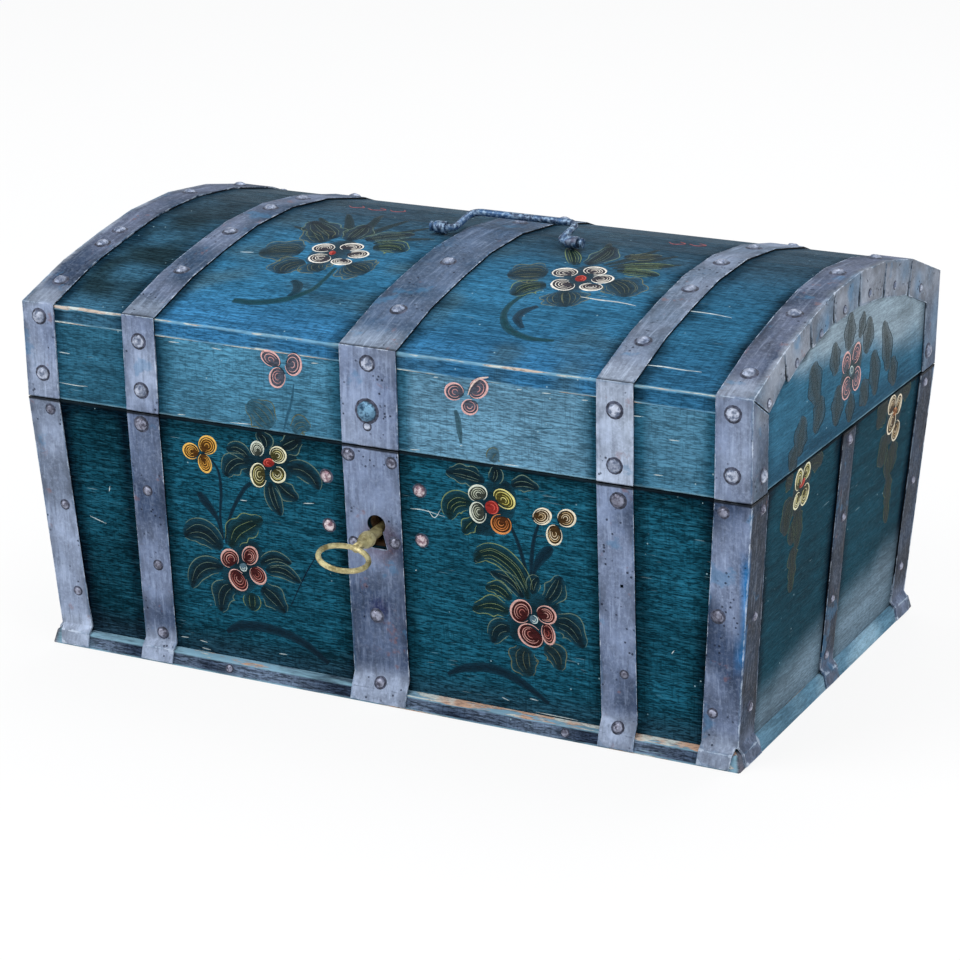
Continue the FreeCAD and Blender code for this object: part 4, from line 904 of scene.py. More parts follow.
class Brush:
    """Lays strokes of paint on one face of the box, all in one piece."""

    def __init__(self, face, seed, ground):
        self.face = face
        self.ground = ground
        self.bm = bmesh.new()
        self.paint = self.bm.verts.layers.float_color.new("paint")
        self.dry = self.bm.verts.layers.float.new("dry")
        self.uv = self.bm.loops.layers.uv.new("stroke")
        self.dice = random.Random(seed)
        sizes = bpy.context.scene.painted_box_sizes
        self.fill_lift = sizes.fill_lift / MM
        self.line_lift = sizes.line_lift / MM

    def stroke(self, points, widths, colour, lift, dry=0.3, step=1.6, strands=4, edge_colour=None, veil=0.0, melt=0.0):
        """One stroke along a smooth line; widths are spread evenly along it.

        The ground shows through by the veil, and more towards the edges by the melt.
        """
        length = sum(math.dist(a, b) for a, b in zip(points[:-1], points[1:]))
        count = max(6, round(length / step))
        made_grid = bmesh.ops.create_grid(self.bm, x_segments=count, y_segments=strands, size=1.0)
        places = {}
        for v in made_grid["verts"]:
            share, side = (v.co.x + 1) / 2, v.co.y
            place, way = smooth_line(points, share)
            spot = share * (len(widths) - 1)
            i = min(len(widths) - 2, int(spot))
            width = widths[i] + (widths[i + 1] - widths[i]) * (spot - i)
            across = Vector((-way.y, way.x))
            u, w = place + across * (side * width / 2)
            point, normal = self.face(u, w)
            rise = -0.06 + (lift + 0.06) * (1 - side ** 4) * ease(min(share, 1 - share) * count / 1.5 + 0.15)
            places[v] = (share * length, side * width / 2)
            v[self.dry] = dry
            tone = blend(colour, edge_colour or colour, abs(side) ** 3)
            if veil or melt:
                tone = blend(tone, self.ground(*point), min(1.0, veil + melt * side * side))
            v[self.paint] = opaque(tone)
            v.co = (point + normal * rise) * MM
        for f in {f for v in made_grid["verts"] for f in v.link_faces}:
            for loop in f.loops:
                loop[self.uv].uv = places[loop.vert]

    def oval(self, centre, half_long, half_wide, turn, start, stop, shrink):
        """Points round an oval from one angle to another, in degrees."""
        points = []
        count = max(5, round(abs(stop - start) / 24))
        for i in range(count + 1):
            a = math.radians(start + (stop - start) * i / count)
            x, y = half_long * shrink * math.cos(a), half_wide * shrink * math.sin(a)
            c, s = math.cos(math.radians(turn)), math.sin(math.radians(turn))
            points.append((centre[0] + x * c - y * s, centre[1] + x * s + y * c))
        return points

    def blob(self, centre, half_long, half_wide, turn, colour, edge_colour=None, lift=None, veil=0.0, melt=0.0):
        """Round touch of paint, laid as one short wide stroke."""
        c, s = math.cos(math.radians(turn)), math.sin(math.radians(turn))
        ends = [(centre[0] + d * half_long * c, centre[1] + d * half_long * s) for d in (-1, -0.33, 0.33, 1)]
        round_widths = [2 * half_wide * math.sqrt(max(0.0, 1 - (k / 6 - 1) ** 2)) for k in range(13)]
        round_widths[0] = round_widths[-1] = half_wide * 0.25
        self.stroke(ends, round_widths, colour, lift or self.fill_lift, 0.1, 1.0, 6, edge_colour, veil, melt)

    def petal(self, u, v, half_long, half_wide, turn, colours, outward):
        """Petal: a dull fill in a dark edge, a ring thickest on its outer side, and curls inside it."""
        fill, line, curl = colours
        d = self.dice
        self.blob((u, v), half_long * 1.1, half_wide * 1.1, turn, PETAL_SHADE, None, self.fill_lift * 0.5, 0.1, 0.4)
        self.blob((u, v), half_long * 0.97, half_wide * 0.97, turn, fill, [x * 0.5 for x in fill])
        start = outward - turn + 180 + d.uniform(-30, 30)
        ring = self.oval((u, v), half_long, half_wide, turn, start, start + d.uniform(300, 345), 0.93)
        self.stroke(ring, [0.4, 0.8, 1.5, 1.9, 1.4, 0.8, 0.4], line, self.line_lift, 0.42, 0.8, 3)
        for shrink in (0.62, 0.3) if colours is ROSE else (0.7, 0.48, 0.26):
            way = math.radians(outward)
            shift = (1 - shrink) * 0.12 * half_long
            start = outward - turn - d.uniform(120, 200)
            curve = self.oval((u - shift * math.cos(way), v - shift * math.sin(way)), half_long, half_wide, turn,
                              start, start + d.uniform(220, 320), shrink * d.uniform(0.9, 1.05))
            self.stroke(curve, [0.3, 0.8, 1.0, 0.75, 0.3], blend(curl, line, d.uniform(0.1, 0.9)),
                        self.line_lift * 0.85, 0.46, 0.8, 3)

    def leaf(self, points, width, colours, lobes=0, veins=2):
        """Leaf: dark fill, thin light outline on both sides, and veins along it."""
        fill, line, veil = colours
        d = self.dice
        profile = []
        for k in range(11):
            t = k / 10
            swell = math.sin(math.pi * min(1.0, t * 0.86 + 0.1)) ** 0.7
            scallop = 1 + (0.13 * math.cos(2 * math.pi * lobes * t) if lobes else 0)
            profile.append(width * 1.22 * swell * scallop)
        profile[0] *= 0.5
        profile[-1] *= 0.45
        self.stroke(points, profile, fill, self.fill_lift, 0.1, 1.6, 8, None, veil, 0.9 - veil)
        for side in (-1, 1):
            rim = []
            for k in range(1, 11):
                t = k / 10
                place, way = smooth_line(points, t)
                across = Vector((-way.y, way.x)) * (side * profile[k] * 0.46)
                rim.append(tuple(place + across))
            first, last = (0, 9) if side > 0 else (d.choice((0, 1)), d.choice((7, 8)))
            self.stroke(rim[first:last + 1], [0.3, 0.75, 0.9, 0.7, 0.3], line, self.line_lift * 0.7, 0.5, 1.1, 3)
        for k in range(veins):
            offset = (k + 1) / (veins + 1) * 2 - 1 + d.uniform(-0.12, 0.12)
            vein = []
            for t in (0.12, 0.35, 0.6, d.uniform(0.75, 0.9)):
                place, way = smooth_line(points, t)
                spread = profile[min(10, round(t * 10))] * 0.4 * offset
                vein.append(tuple(place + Vector((-way.y, way.x)) * spread))
            self.stroke(vein, [0.3, 0.66, 0.6, 0.25], line, self.line_lift * 0.6, 0.55, 1.3, 3)

    def piece(self, name, body, along="X", low=0.0, high=FACE_SPAN):
        for height, way in ((low, -1), (high, 1)):
            bmesh.ops.bisect_plane(
                self.bm, geom=everything(self.bm), dist=1e-7, plane_co=(0, 0, height * MM),
                plane_no=(0, 0, way), clear_outer=True)
        paint = made("flower_paint_along_" + along, flower_paint, along)
        return finished(self.bm, name, body, [paint], [], 60)


CREAM = (tint(70, 66, 36), tint(232, 228, 194), tint(190, 180, 96))
PALE = (tint(60, 66, 60), tint(214, 220, 204), tint(170, 176, 150))
YELLOW = (tint(80, 74, 34), tint(226, 218, 140), tint(204, 192, 92))
OCHRE = (tint(86, 54, 20), tint(234, 184, 92), tint(214, 154, 64))
ORANGE = (tint(84, 46, 22), tint(216, 140, 78), tint(196, 114, 60))
SAND = (tint(72, 52, 28), tint(238, 226, 200), tint(190, 156, 98))
RED = (tint(66, 26, 28), tint(214, 168, 158), tint(160, 66, 56))
ROSE = (tint(84, 88, 102), tint(226, 178, 174), tint(190, 132, 134))
WHITE = (tint(58, 56, 64), tint(234, 230, 220), tint(204, 196, 182))
LEAF = (tint(9, 23, 29), tint(100, 120, 106), 0.1)
LEAF_GREEN = (tint(13, 32, 27), tint(116, 134, 92), 0.1)
LEAF_DULL = (tint(22, 34, 34), tint(108, 112, 86), 0.14)
LEAF_GABLE = (tint(46, 56, 52), tint(38, 50, 52), 0.3)
LEAF_END = (tint(18, 34, 32), tint(72, 84, 66), 0.1)
LEAF_FAINT = (tint(30, 56, 60), tint(96, 100, 70), 0.4)
FROND = tint(14, 38, 42)
PETAL_SHADE = tint(16, 20, 26)
STEM = tint(8, 28, 42)
STEM_GREEN = tint(10, 56, 60)
BLUE_HEART = (tint(88, 116, 130), tint(200, 216, 212))
RED_HEART = (tint(150, 44, 40), tint(214, 96, 84))

# Flowers as centre, half length, half width and turn of each petal
FRONT_PETALS = [
    (OCHRE, [(-136, 157.5, 6.4, 5.8, 12), (-123, 163.6, 7.2, 6.6, 30), (-126, 150.6, 6.9, 5.2, 100)]),
    (CREAM, [(-69.5, 164.5, 6.5, 6.0, 20), (-85, 148, 9.0, 6.4, 82), (-70.5, 150.6, 6.4, 5.6, 40)]),
    (PALE, [(-84.8, 166.4, 5.6, 5.0, 60)]),
    (RED, [(-112, 84, 7.6, 6.6, 40), (-96.2, 88.6, 7.4, 6.0, 60), (-91, 75.4, 6.9, 6.3, 130),
           (-106.4, 69.4, 8.6, 6.6, 128)]),
    (PALE, [(75.6, 159.4, 7.2, 5.7, 25), (75.4, 146.4, 7.4, 6.0, 95)]),
    (YELLOW, [(94, 158.4, 8.2, 6.2, -30)]),
    (ORANGE, [(91.4, 141, 7.5, 7.0, 10)]),
    (SAND, [(120, 150.6, 7.0, 5.5, 30), (137, 152, 6.8, 5.9, 35), (128.4, 139.4, 7.2, 5.6, 85)]),
    (RED, [(103.4, 82.4, 8.8, 7.6, 60), (121, 83, 7.2, 6.5, -10), (109.6, 66.6, 9.4, 8.0, -30),
           (122, 70, 7.8, 4.8, -80)]),
]
FRONT_HEARTS = [
    (RED_HEART, -76.8, 158, 4.8, 3.5), (BLUE_HEART, -101.8, 79.4, 3.4, 3.6), (RED_HEART, 85.4, 151.4, 5.2, 5.6),
    (BLUE_HEART, 112.3, 78.4, 3.4, 3.6),
]
FRONT_LEAVES = [
    (LEAF, 10, 0, 2, [(-91, 158), (-99, 164), (-109, 163)]),
    (LEAF, 13, 2, 2, [(-90, 157), (-101, 155), (-108, 149), (-110, 143)]),
    (LEAF, 11, 2, 2, [(-80, 167), (-79, 173), (-84, 179)]),
    (LEAF, 12, 2, 2, [(-67, 169), (-59, 173), (-51, 179)]),
    (LEAF, 12, 0, 1, [(-64, 156), (-53, 157), (-44, 152), (-40, 144)]),
    (LEAF, 11, 0, 2, [(-77, 145), (-75, 133), (-70, 121)]),
    (LEAF, 11, 2, 1, [(-73, 146), (-64, 139), (-56, 135)]),
    (LEAF, 17, 0, 3, [(-117, 90), (-128, 99), (-138, 100), (-147, 95)]),
    (LEAF_GREEN, 16, 3, 2, [(-111, 92), (-105, 104), (-95, 111), (-84, 117)]),
    (LEAF, 13, 0, 2, [(-117, 77), (-130, 76), (-139, 69), (-144, 57)]),
    (LEAF, 15, 2, 2, [(-111, 65), (-119, 58), (-122, 43)]),
    (LEAF_GREEN, 12, 0, 2, [(-97, 62), (-97, 55), (-97, 48)]),
    (LEAF, 15, 2, 2, [(-89, 67), (-80, 61), (-71, 51)]),
    (LEAF, 9, 0, 1, [(-89, 84), (-77, 90), (-64, 88)]),
    (LEAF, 10, 0, 2, [(-85, 80), (-72, 82), (-58, 75)]),
    (LEAF_GREEN, 14, 0, 3, [(72, 152), (62, 152), (56, 147), (55, 138)]),
    (LEAF_GREEN, 9, 2, 1, [(73, 141), (68, 136), (64, 130)]),
    (LEAF, 12, 3, 3, [(81, 168), (68, 171), (53, 171)]),
    (LEAF, 9, 0, 2, [(86, 168), (89, 174), (88, 180)]),
    (LEAF, 9, 2, 2, [(99, 168), (108, 171), (119, 169)]),
    (LEAF_GREEN, 13, 0, 4, [(109, 91), (104, 106), (91, 118), (78, 119), (71, 111)]),
    (LEAF, 9, 0, 2, [(106, 92), (97, 102), (82, 107)]),
    (LEAF_GREEN, 9, 2, 2, [(97, 89), (88, 96), (78, 95)]),
    (LEAF_GREEN, 12, 2, 2, [(95, 80), (83, 83), (68, 78)]),
    (LEAF, 13, 0, 2, [(96, 69), (87, 67), (82, 56)]),
    (LEAF_DULL, 18, 3, 3, [(106, 58), (104, 48), (109, 37)]),
    (LEAF_DULL, 13, 2, 2, [(119, 61), (127, 56), (130, 45)]),
    (LEAF, 16, 2, 3, [(126, 79), (138, 77), (147, 64)]),
    (LEAF, 13, 2, 3, [(121, 91), (128, 101), (132, 112)]),
    (LEAF, 9, 0, 2, [(111, 95), (113, 104), (117, 108)]),
]
FRONT_STEMS = [
    (STEM, [2.0, 2.6, 3.2, 2.4, 2.4], [(-121, 154), (-116, 146), (-115, 132), (-117, 114), (-116, 96)]),
    (STEM, [4.2, 4.0, 3.4, 2.4, 2.2], [(-91, 142), (-98, 135), (-107, 120), (-113, 104), (-114, 94)]),
    (STEM, [5.0, 9.0, 7.0, 3.0, 2.0], [(-133, 129), (-129, 124), (-123, 117), (-119, 110), (-117, 100)]),
    (STEM, [4.0, 10, 9, 8, 4], [(-119, 29), (-105, 36), (-80, 37), (-58, 31), (-40, 19)]),
    (STEM, [2.6, 3.6, 3.8, 3.2, 2.6], [(98, 141), (103, 129), (107, 114), (109, 100), (108, 92)]),
    (STEM, [2.4, 3.4, 4.0, 3.2], [(118, 146), (114, 134), (112, 120), (111, 104)]),
    (STEM, [4.0, 10, 9, 4, 2], [(127, 131), (123, 127), (118, 121), (114, 113), (112, 106)]),
    (STEM, [3.0, 8, 9, 8, 3], [(48, 28), (62, 35), (82, 38), (102, 32), (122, 20)]),
    (tint(18, 30, 48), [0.5, 0.8, 0.6, 0.4], [(-45, 97), (-52, 86), (-58, 75), (-67, 57)]),
]
LID_FRONT_PETALS = [
    (ROSE, [(-71.6, 230, 7.6, 5.2, -20), (-55, 228.4, 8.0, 6.2, 75), (-67, 218, 7.4, 6.0, 68),
            (60.8, 225.4, 7.0, 5.8, 20), (77.4, 229.6, 7.8, 6.0, 45), (71.6, 216.8, 6.0, 5.2, 20)]),
]
LID_FRONT_LEAVES = [
    (LEAF_FAINT, 19, 2, 4, [(-73, 182.5), (-80, 191), (-91, 198)]),
    (LEAF_FAINT, 11, 2, 2, [(-57, 182), (-51, 188), (-44, 186)]),
    (LEAF_FAINT, 9, 0, 1, [(86, 182), (88, 187), (92, 189)]),
]
LID_FRONT_STEMS = [
    (tint(40, 82, 104), [1.0, 2.6, 2.6, 1.4], [(-55, 216), (-57, 204), (-61, 192), (-64, 182)]),
    (tint(52, 84, 96), [3.0, 5.4, 5.0, 2.0], [(61, 214), (63, 207), (64, 199), (65, 191)]),
    (tint(232, 206, 196), [0.4, 1.5, 1.6, 0.8], [(70, 224), (73, 231), (78, 236), (85, 238)]),
    (tint(44, 82, 102), [0.5, 1.8, 0.5], [(108, 202), (114, 202.6), (121, 202)]),
    (tint(44, 82, 102), [0.5, 1.4, 0.5], [(116, 208.5), (122, 209.5), (130, 210.5)]),
]
DOME_PETALS = [
    (WHITE, [(-95, 118.5, 8.0, 7.2, 20), (-77, 125, 8.6, 6.4, 10), (-67, 115, 7.6, 6.4, 20), (-89, 102, 8.6, 7.2, -20),
             (-72, 101, 7.6, 5.2, 5), (81, 125.4, 8.8, 7.4, 15), (99, 133, 8.4, 6.6, -10),
             (109, 122.4, 7.6, 6.8, 30), (88, 107, 10.0, 7.4, -38), (107, 109, 8.0, 6.0, 5)]),
]
DOME_HEARTS = [(RED_HEART, -85, 112.5, 2.6, 3.8), (RED_HEART, 95, 119.4, 4.2, 5.6)]
DOME_LEAVES = [
    (LEAF_DULL, 24, 3, 5, [(-106, 108), (-120, 107), (-134, 97)]),
    (LEAF_DULL, 16, 2, 2, [(-100, 126), (-110, 137), (-122, 149)]),
    (LEAF, 20, 3, 3, [(-96, 134), (-112, 150), (-130, 166)]),
    (LEAF_DULL, 18, 3, 2, [(-96, 95), (-105, 85), (-103, 73)]),
    (LEAF_DULL, 15, 2, 2, [(-86, 95), (-85, 88), (-78, 84)]),
    (LEAF_DULL, 23, 3, 5, [(-66, 99), (-55, 93), (-46, 90)]),
    (LEAF_GREEN, 15, 2, 3, [(-63, 128), (-50, 133), (-38, 127)]),
    (LEAF, 14, 2, 3, [(-74, 138), (-62, 152), (-48, 163)]),
    (LEAF, 14, 2, 2, [(-84, 134), (-86, 152), (-90, 172)]),
    (LEAF_DULL, 22, 3, 5, [(71, 120), (58, 118), (46, 110)]),
    (LEAF_GREEN, 15, 2, 2, [(78, 104), (67, 97), (63, 83)]),
    (LEAF_DULL, 22, 3, 5, [(93, 99), (98, 88), (104, 77)]),
    (LEAF_DULL, 21, 3, 4, [(115, 122), (128, 114), (135, 100)]),
    (LEAF_GREEN, 9, 0, 2, [(112, 138), (128, 139), (143, 137)]),
    (LEAF_GREEN, 10, 0, 2, [(110, 143), (126, 152), (144, 160)]),
    (LEAF, 13, 2, 2, [(90, 141), (92, 164), (88, 186)]),
    (LEAF_DULL, 10, 2, 2, [(104, 168), (117, 171), (128, 178)]),
    (LEAF_GREEN, 7, 0, 2, [(82, 138), (73, 156), (62, 172)]),
]
DOME_STEMS = [
    (STEM_GREEN, [4, 4.4, 6, 9, 9, 7], [(-71, 92), (-70, 72), (-71, 56), (-82, 42), (-100, 34), (-118, 33)]),
    (tint(12, 44, 56), [5, 9, 8, 5], [(-91, 67), (-84, 62), (-80, 53), (-82, 44)]),
    (STEM_GREEN, [4, 5, 6, 8, 7, 4], [(71, 92), (67, 72), (70, 55), (80, 41), (97, 34), (115, 35)]),
    (tint(14, 40, 54), [5, 9, 8, 4], [(86, 74), (80, 65), (80, 54), (89, 43)]),
    (tint(206, 210, 206), [0.4, 1.4, 1.0, 0.3], [(106, 93), (120, 92), (134, 92), (147, 90)]),
    (tint(196, 210, 214), [0.3, 1.3, 1.0, 0.3], [(182, 22), (194, 22.6), (206, 22), (219, 22.4)]),
    (tint(196, 210, 214), [0.3, 1.1, 0.8, 0.3], [(180, 92), (196, 92), (212, 90)]),
    (tint(176, 200, 214), [0.5, 2.4, 2.0, 0.5], [(-148, 97), (-142, 98), (-138, 99)]),
] + [(FROND, [3.0, 8.0, 9.5, 8.0, 3.0], list(run)) for run in (
    [(-98, 132), (-116, 142), (-136, 150)], [(-96, 136), (-112, 156), (-130, 176)],
    [(-90, 138), (-100, 164), (-116, 192)],
    [(-84, 138), (-86, 166), (-94, 202)], [(-78, 138), (-76, 162), (-68, 192)], [(-72, 138), (-62, 158), (-46, 180)],
    [(-66, 134), (-50, 148), (-30, 158)], [(84, 140), (72, 162), (58, 184)], [(92, 142), (90, 168), (82, 196)],
    [(100, 144), (112, 166), (120, 192)], [(108, 140), (126, 152), (148, 164)], [(104, 142), (120, 160), (138, 182)],
)] + [(tint(148, 84, 88), [0.4, 1.5, 1.2, 0.4], list(run)) for run in (
    [(-134, 226), (-128, 220), (-121, 224), (-126, 231)], [(-118, 224), (-111, 219), (-104, 225), (-112, 231)],
    [(-102, 228), (-96, 222), (-90, 227), (-94, 234)], [(112, 226), (118, 220), (124, 226), (118, 231)],
    [(126, 228), (133, 223), (138, 229), (131, 233)],
)]
GABLE_PETALS = [
    (ROSE, [(-9, 227, 8.0, 7.2, 20), (10, 229, 8.2, 6.2, 30), (-7, 209.6, 8.6, 7.8, 10), (12.2, 211.4, 8.4, 8.0, 60)]),
]
GABLE_HEARTS = [(BLUE_HEART, 1.4, 219, 4.2, 4.2)]
GABLE_LEAVES = [
    (LEAF_GABLE, width, 2, 2, places) for width, places in (
        (18, [(-5, 234), (-4, 247), (-2, 260)]), (18, [(27, 224), (33, 236), (36, 248)]),
        (17, [(76, 200), (73, 217), (63, 238)]), (16, [(-27, 224), (-31, 236), (-32, 247)]),
        (21, [(-74, 242), (-67, 228), (-60, 212)]), (19, [(-56, 218), (-58, 207), (-66, 195)]),
        (20, [(-22, 216), (-23, 202), (-27, 189)]), (15, [(2, 204), (2, 194), (0, 184)]),
        (17, [(23, 206), (29, 197), (35, 188)]), (18, [(43, 222), (49, 206), (51, 189)]),
        (16, [(84, 208), (87, 197), (91, 186)]), (20, [(-84, 212), (-90, 199), (-93, 187)]),
        (15, [(-96, 196), (-103, 188), (-108, 181.5)]), (11, [(14, 238), (20, 246), (24, 254)]),
    )
]
END_PETALS = [
    (CREAM, [(-89, 171, 7.4, 6.4, 75), (-75.6, 173, 6.6, 5.6, 10), (-89, 157, 6.2, 5.6, 20),
             (-75, 157.4, 8.0, 6.8, 40)]),
    (SAND, [(90, 172.4, 8.2, 6.6, 20), (104.6, 169, 7.4, 6.2, 60), (93, 158.6, 9.0, 7.2, 30),
            (104, 150.4, 8.2, 7.2, 20)]),
]
END_HEARTS = [(RED_HEART, -82, 167, 5.4, 2.6), (ORANGE, 97, 165.4, 5.0, 3.4)]
END_LEAVES = [(LEAF_END, *row) for row in (
    (18, 3, 3, [(-98, 162), (-106, 152), (-104, 138)]),
    (14, 2, 2, [(-70, 176), (-58, 176), (-46, 171)]),
    (12, 2, 2, [(-100, 172), (-108, 176), (-113, 178)]),
    (15, 3, 2, [(-86, 150), (-84, 142), (-76, 136)]),
    (13, 2, 2, [(-88, 148), (-92, 136), (-89, 128)]),
    (15, 2, 2, [(-88, 126), (-87, 118), (-84, 112)]),
    (9, 0, 1, [(-87, 108), (-86, 101), (-85, 93)]),
    (19, 3, 3, [(82, 176), (70, 172), (60, 164)]),
    (19, 3, 3, [(88, 152), (80, 142), (84, 130)]),
    (14, 2, 2, [(108, 176), (120, 176), (128, 172)]),
    (18, 3, 2, [(100, 144), (102, 132), (101, 120)]),
    (14, 2, 2, [(98, 120), (100, 110), (104, 103)]),
    (10, 0, 2, [(100, 102), (102, 92), (104, 82)]),
    (13, 2, 2, [(-82, 146), (-82, 134), (-82, 122)]),
    (11, 2, 2, [(-86, 118), (-86, 108), (-85, 98)]),
    (13, 2, 2, [(94, 140), (94, 128), (97, 116)]),
    (11, 2, 2, [(99, 112), (101, 102), (102, 90)]),
)]
SCRATCHES = {
    "body_front": [
        [(-79, 20), (-72, 20.4)], [(-101, 128), (-95, 128.2)], [(-53, 133), (-44, 134.2)], [(107, 21.6), (114, 21)],
        [(87, 18.8), (93, 17)], [(111, 12.6), (128, 12.4), (142, 12.2)], [(39, 143), (44, 138), (49, 145)],
        [(26, 141.5), (36, 142), (52, 139.6)], [(-156, 19), (-149, 19.4)], [(-141, 19), (-134, 18.2)],
        [(-140, 13.6), (-132, 13)], [(-204, 118), (-203, 123)], [(-222, 98), (-208, 94)], [(207, 71), (209, 74)],
        [(72, 112), (73, 112.6)], [(28, 98.6), (29.4, 99)],
    ],
    "lid_front": [
        [(-149, 232), (-140, 232.4)], [(-116, 232), (-108, 231.4)], [(-42, 231), (-36, 231.6)],
        [(46, 233), (50, 233.4)],
        [(121, 232.6), (128, 233)], [(148, 231.6), (153, 232)], [(104, 232.6), (108, 233)], [(64, 190), (66, 190.4)],
        [(-145, 182.4), (-138, 182.8)], [(-105, 182.2), (-94, 182.8), (-86, 183.4)], [(28, 182.4), (36, 183.2)],
        [(94, 182.2), (106, 182.4)], [(-238, 192.4), (-222, 192), (-214, 192.6)], [(-236, 214), (-226, 213.8)],
        [(178, 226), (190, 226.4)],
        [(206, 214), (214, 214.2)], [(196, 190), (203, 190.4)], [(168, 205), (172, 205.4)],
    ],
}


def brush_for(face, seed, ground, petals, hearts, leaves, stems):
    """Paints one face: stems first, then a dark patch behind each flower, leaves, petals and hearts."""
    brush = Brush(face, seed, ground)
    for colour, widths, points in stems:
        thin = min(widths) < 0.45
        lift = brush.line_lift if thin else brush.fill_lift * 0.6
        brush.stroke(points, widths, colour, lift, 0.25, 1.6, 5, None, 0.0 if thin else 0.1, 0.0 if thin else 0.5)
    for colours, u, v, half_long, half_wide in hearts:
        brush.blob((u, v), 23, 19, brush.dice.uniform(0, 90), leaves[0][0][0], None, brush.fill_lift * 0.4, 0.2, 0.8)
    for colours, width, lobes, veins, points in leaves:
        brush.leaf(points, width, colours, lobes, veins)
    places = [(row[0], row[1]) for colours, rows in petals for row in rows]
    for colours, rows in petals:
        for u, v, half_long, half_wide, turn in rows:
            near = [p for p in places if math.dist(p, (u, v)) < 36]
            middle = [sum(p[i] for p in near) / len(near) for i in (0, 1)]
            outward = math.degrees(math.atan2(v - middle[1], u - middle[0]))
            brush.petal(u, v, half_long, half_wide, turn, colours, outward)
    for colours, u, v, half_long, half_wide in hearts:
        brush.blob((u, v), half_long, half_wide, 20, colours[0], None, brush.fill_lift * 1.6)
        for shrink in (0.75, 0.35):
            start = brush.dice.uniform(0, 360)
            ring = brush.oval((u, v), half_long, half_wide, 20, start, start + 230, shrink)
            brush.stroke(ring, [0.4, 1.2, 1.0, 0.4], colours[1], brush.line_lift * 1.1, 0.3, 0.9, 3)
    return brush


def scratch_lines(brush, lines):
    for points in lines:
        brush.stroke(points, [0.2, 0.9, 0.7, 0.2], tint(196, 208, 208), brush.line_lift * 0.5, 0.4, 1.2, 2)


def mirrored_piece(piece, name, body):
    """The same painting on the opposite end of the box."""
    bm = bmesh.new()
    bm.from_mesh(piece.data)
    bmesh.ops.scale(bm, vec=(-1, 1, 1), verts=bm.verts)
    bmesh.ops.reverse_faces(bm, faces=bm.faces)
    return finished(bm, name, body, list(piece.data.materials), [], 60)


# Nail heads
def islands(bm):
    """Vertices of each separate solid in a mesh."""
    left = set(bm.verts)
    groups = []
    while left:
        group, front = set(), [left.pop()]
        while front:
            v = front.pop()
            group.add(v)
            for e in v.link_edges:
                other = e.other_vert(v)
                if other in left:
                    left.discard(other)
                    front.append(other)
        groups.append([v.co.copy() for v in group])
    return sorted(groups, key=lambda g: tuple(round(c, 4) for c in sum(g, Vector()) / len(g)))


def pointed_nails(node):
    """Foot of the head, way out, radius and height of each pointed nail in a solid."""
    bm = merged_copy(node)
    found = []
    for group in islands(bm):
        middle = sum(group, Vector()) / len(group)
        tip = max(group, key=lambda p: (p - middle).length)
        apex = max(group, key=lambda p: (p - tip).length)
        way = (apex - tip).normalized()
        reach = [((p - tip) - way * (p - tip).dot(way)).length for p in group]
        radius = max(reach)
        foot = min((p - tip).dot(way) for p, r in zip(group, reach) if r > radius * 0.9)
        found.append((tip + way * foot, way, radius, (apex - tip).length - foot))
    bm.free()
    return found


def headed_rivets(node, way):
    """The same for rivets, whose direction is known."""
    bm = merged_copy(node)
    found = []
    for group in islands(bm):
        top = max(p.dot(way) for p in group)
        crown = [p for p in group if top - p.dot(way) < 1e-5]
        centre = sum(crown, Vector()) / len(crown)
        reach = [((p - centre) - way * (p - centre).dot(way)).length for p in group]
        radius = max(reach)
        foot = min(p.dot(way) for p, r in zip(group, reach) if r > radius * 0.9)
        found.append((centre - way * (top - foot), way, radius, top - foot))
    bm.free()
    return found


def hammered_head(bm, crown_layer, dice, place, profile, steps, rough, height):
    """Nail head turned from a profile and knocked out of round by the hammer."""
    foot, way, radius, rise = place
    rows = [bm.verts.new((r * radius, 0, h * rise)) for r, h in profile]
    edges = [bm.edges.new(pair) for pair in zip(rows[:-1], rows[1:])]
    bmesh.ops.spin(
        bm, geom=rows + edges, cent=(0, 0, 0), axis=(0, 0, 1), angle=2 * math.pi, steps=steps, use_merge=True)
    verts = connected(rows[0])
    bmesh.ops.remove_doubles(bm, verts=verts, dist=1e-6)
    verts = connected(rows[0] if rows[0].is_valid else next(v for v in verts if v.is_valid))
    turn = dice.uniform(0, 2 * math.pi)
    side = way.orthogonal().normalized()
    matrix = Matrix((side, way.cross(side), way)).transposed() @ Matrix.Rotation(turn, 3, "Z")
    for v in verts:
        share = v.co.z / rise
        v[crown_layer] = share if height is None else height
        if share > 0.05:
            flat = Vector((v.co.x, v.co.y))
            flat *= 1 - dice.uniform(0, rough)
            v.co = Vector((flat.x, flat.y, min(rise, v.co.z * (1 + dice.uniform(-rough, rough * 0.4)))))
        v.co = foot + matrix @ v.co


def connected(start):
    """All vertices joined to one."""
    group, front = {start}, [start]
    while front:
        for e in front.pop().link_edges:
            for other in e.verts:
                if other not in group:
                    group.add(other)
                    front.append(other)
    return sorted(group, key=lambda v: (round(v.co.z, 6), round(v.co.x, 6), round(v.co.y, 6)))


HEAD_PROFILE = [(0, -0.12), (0.96, -0.12), (1.0, 0.0), (0.97, 0.36), (0.7, 0.76), (0.36, 0.96), (0, 1.0)]
# Profile of the ring of painted shadow round each nail head
SHADOW_RING_PROFILE = [(0.9, 0.16), (1.12, 0.05), (1.32, -0.1)]


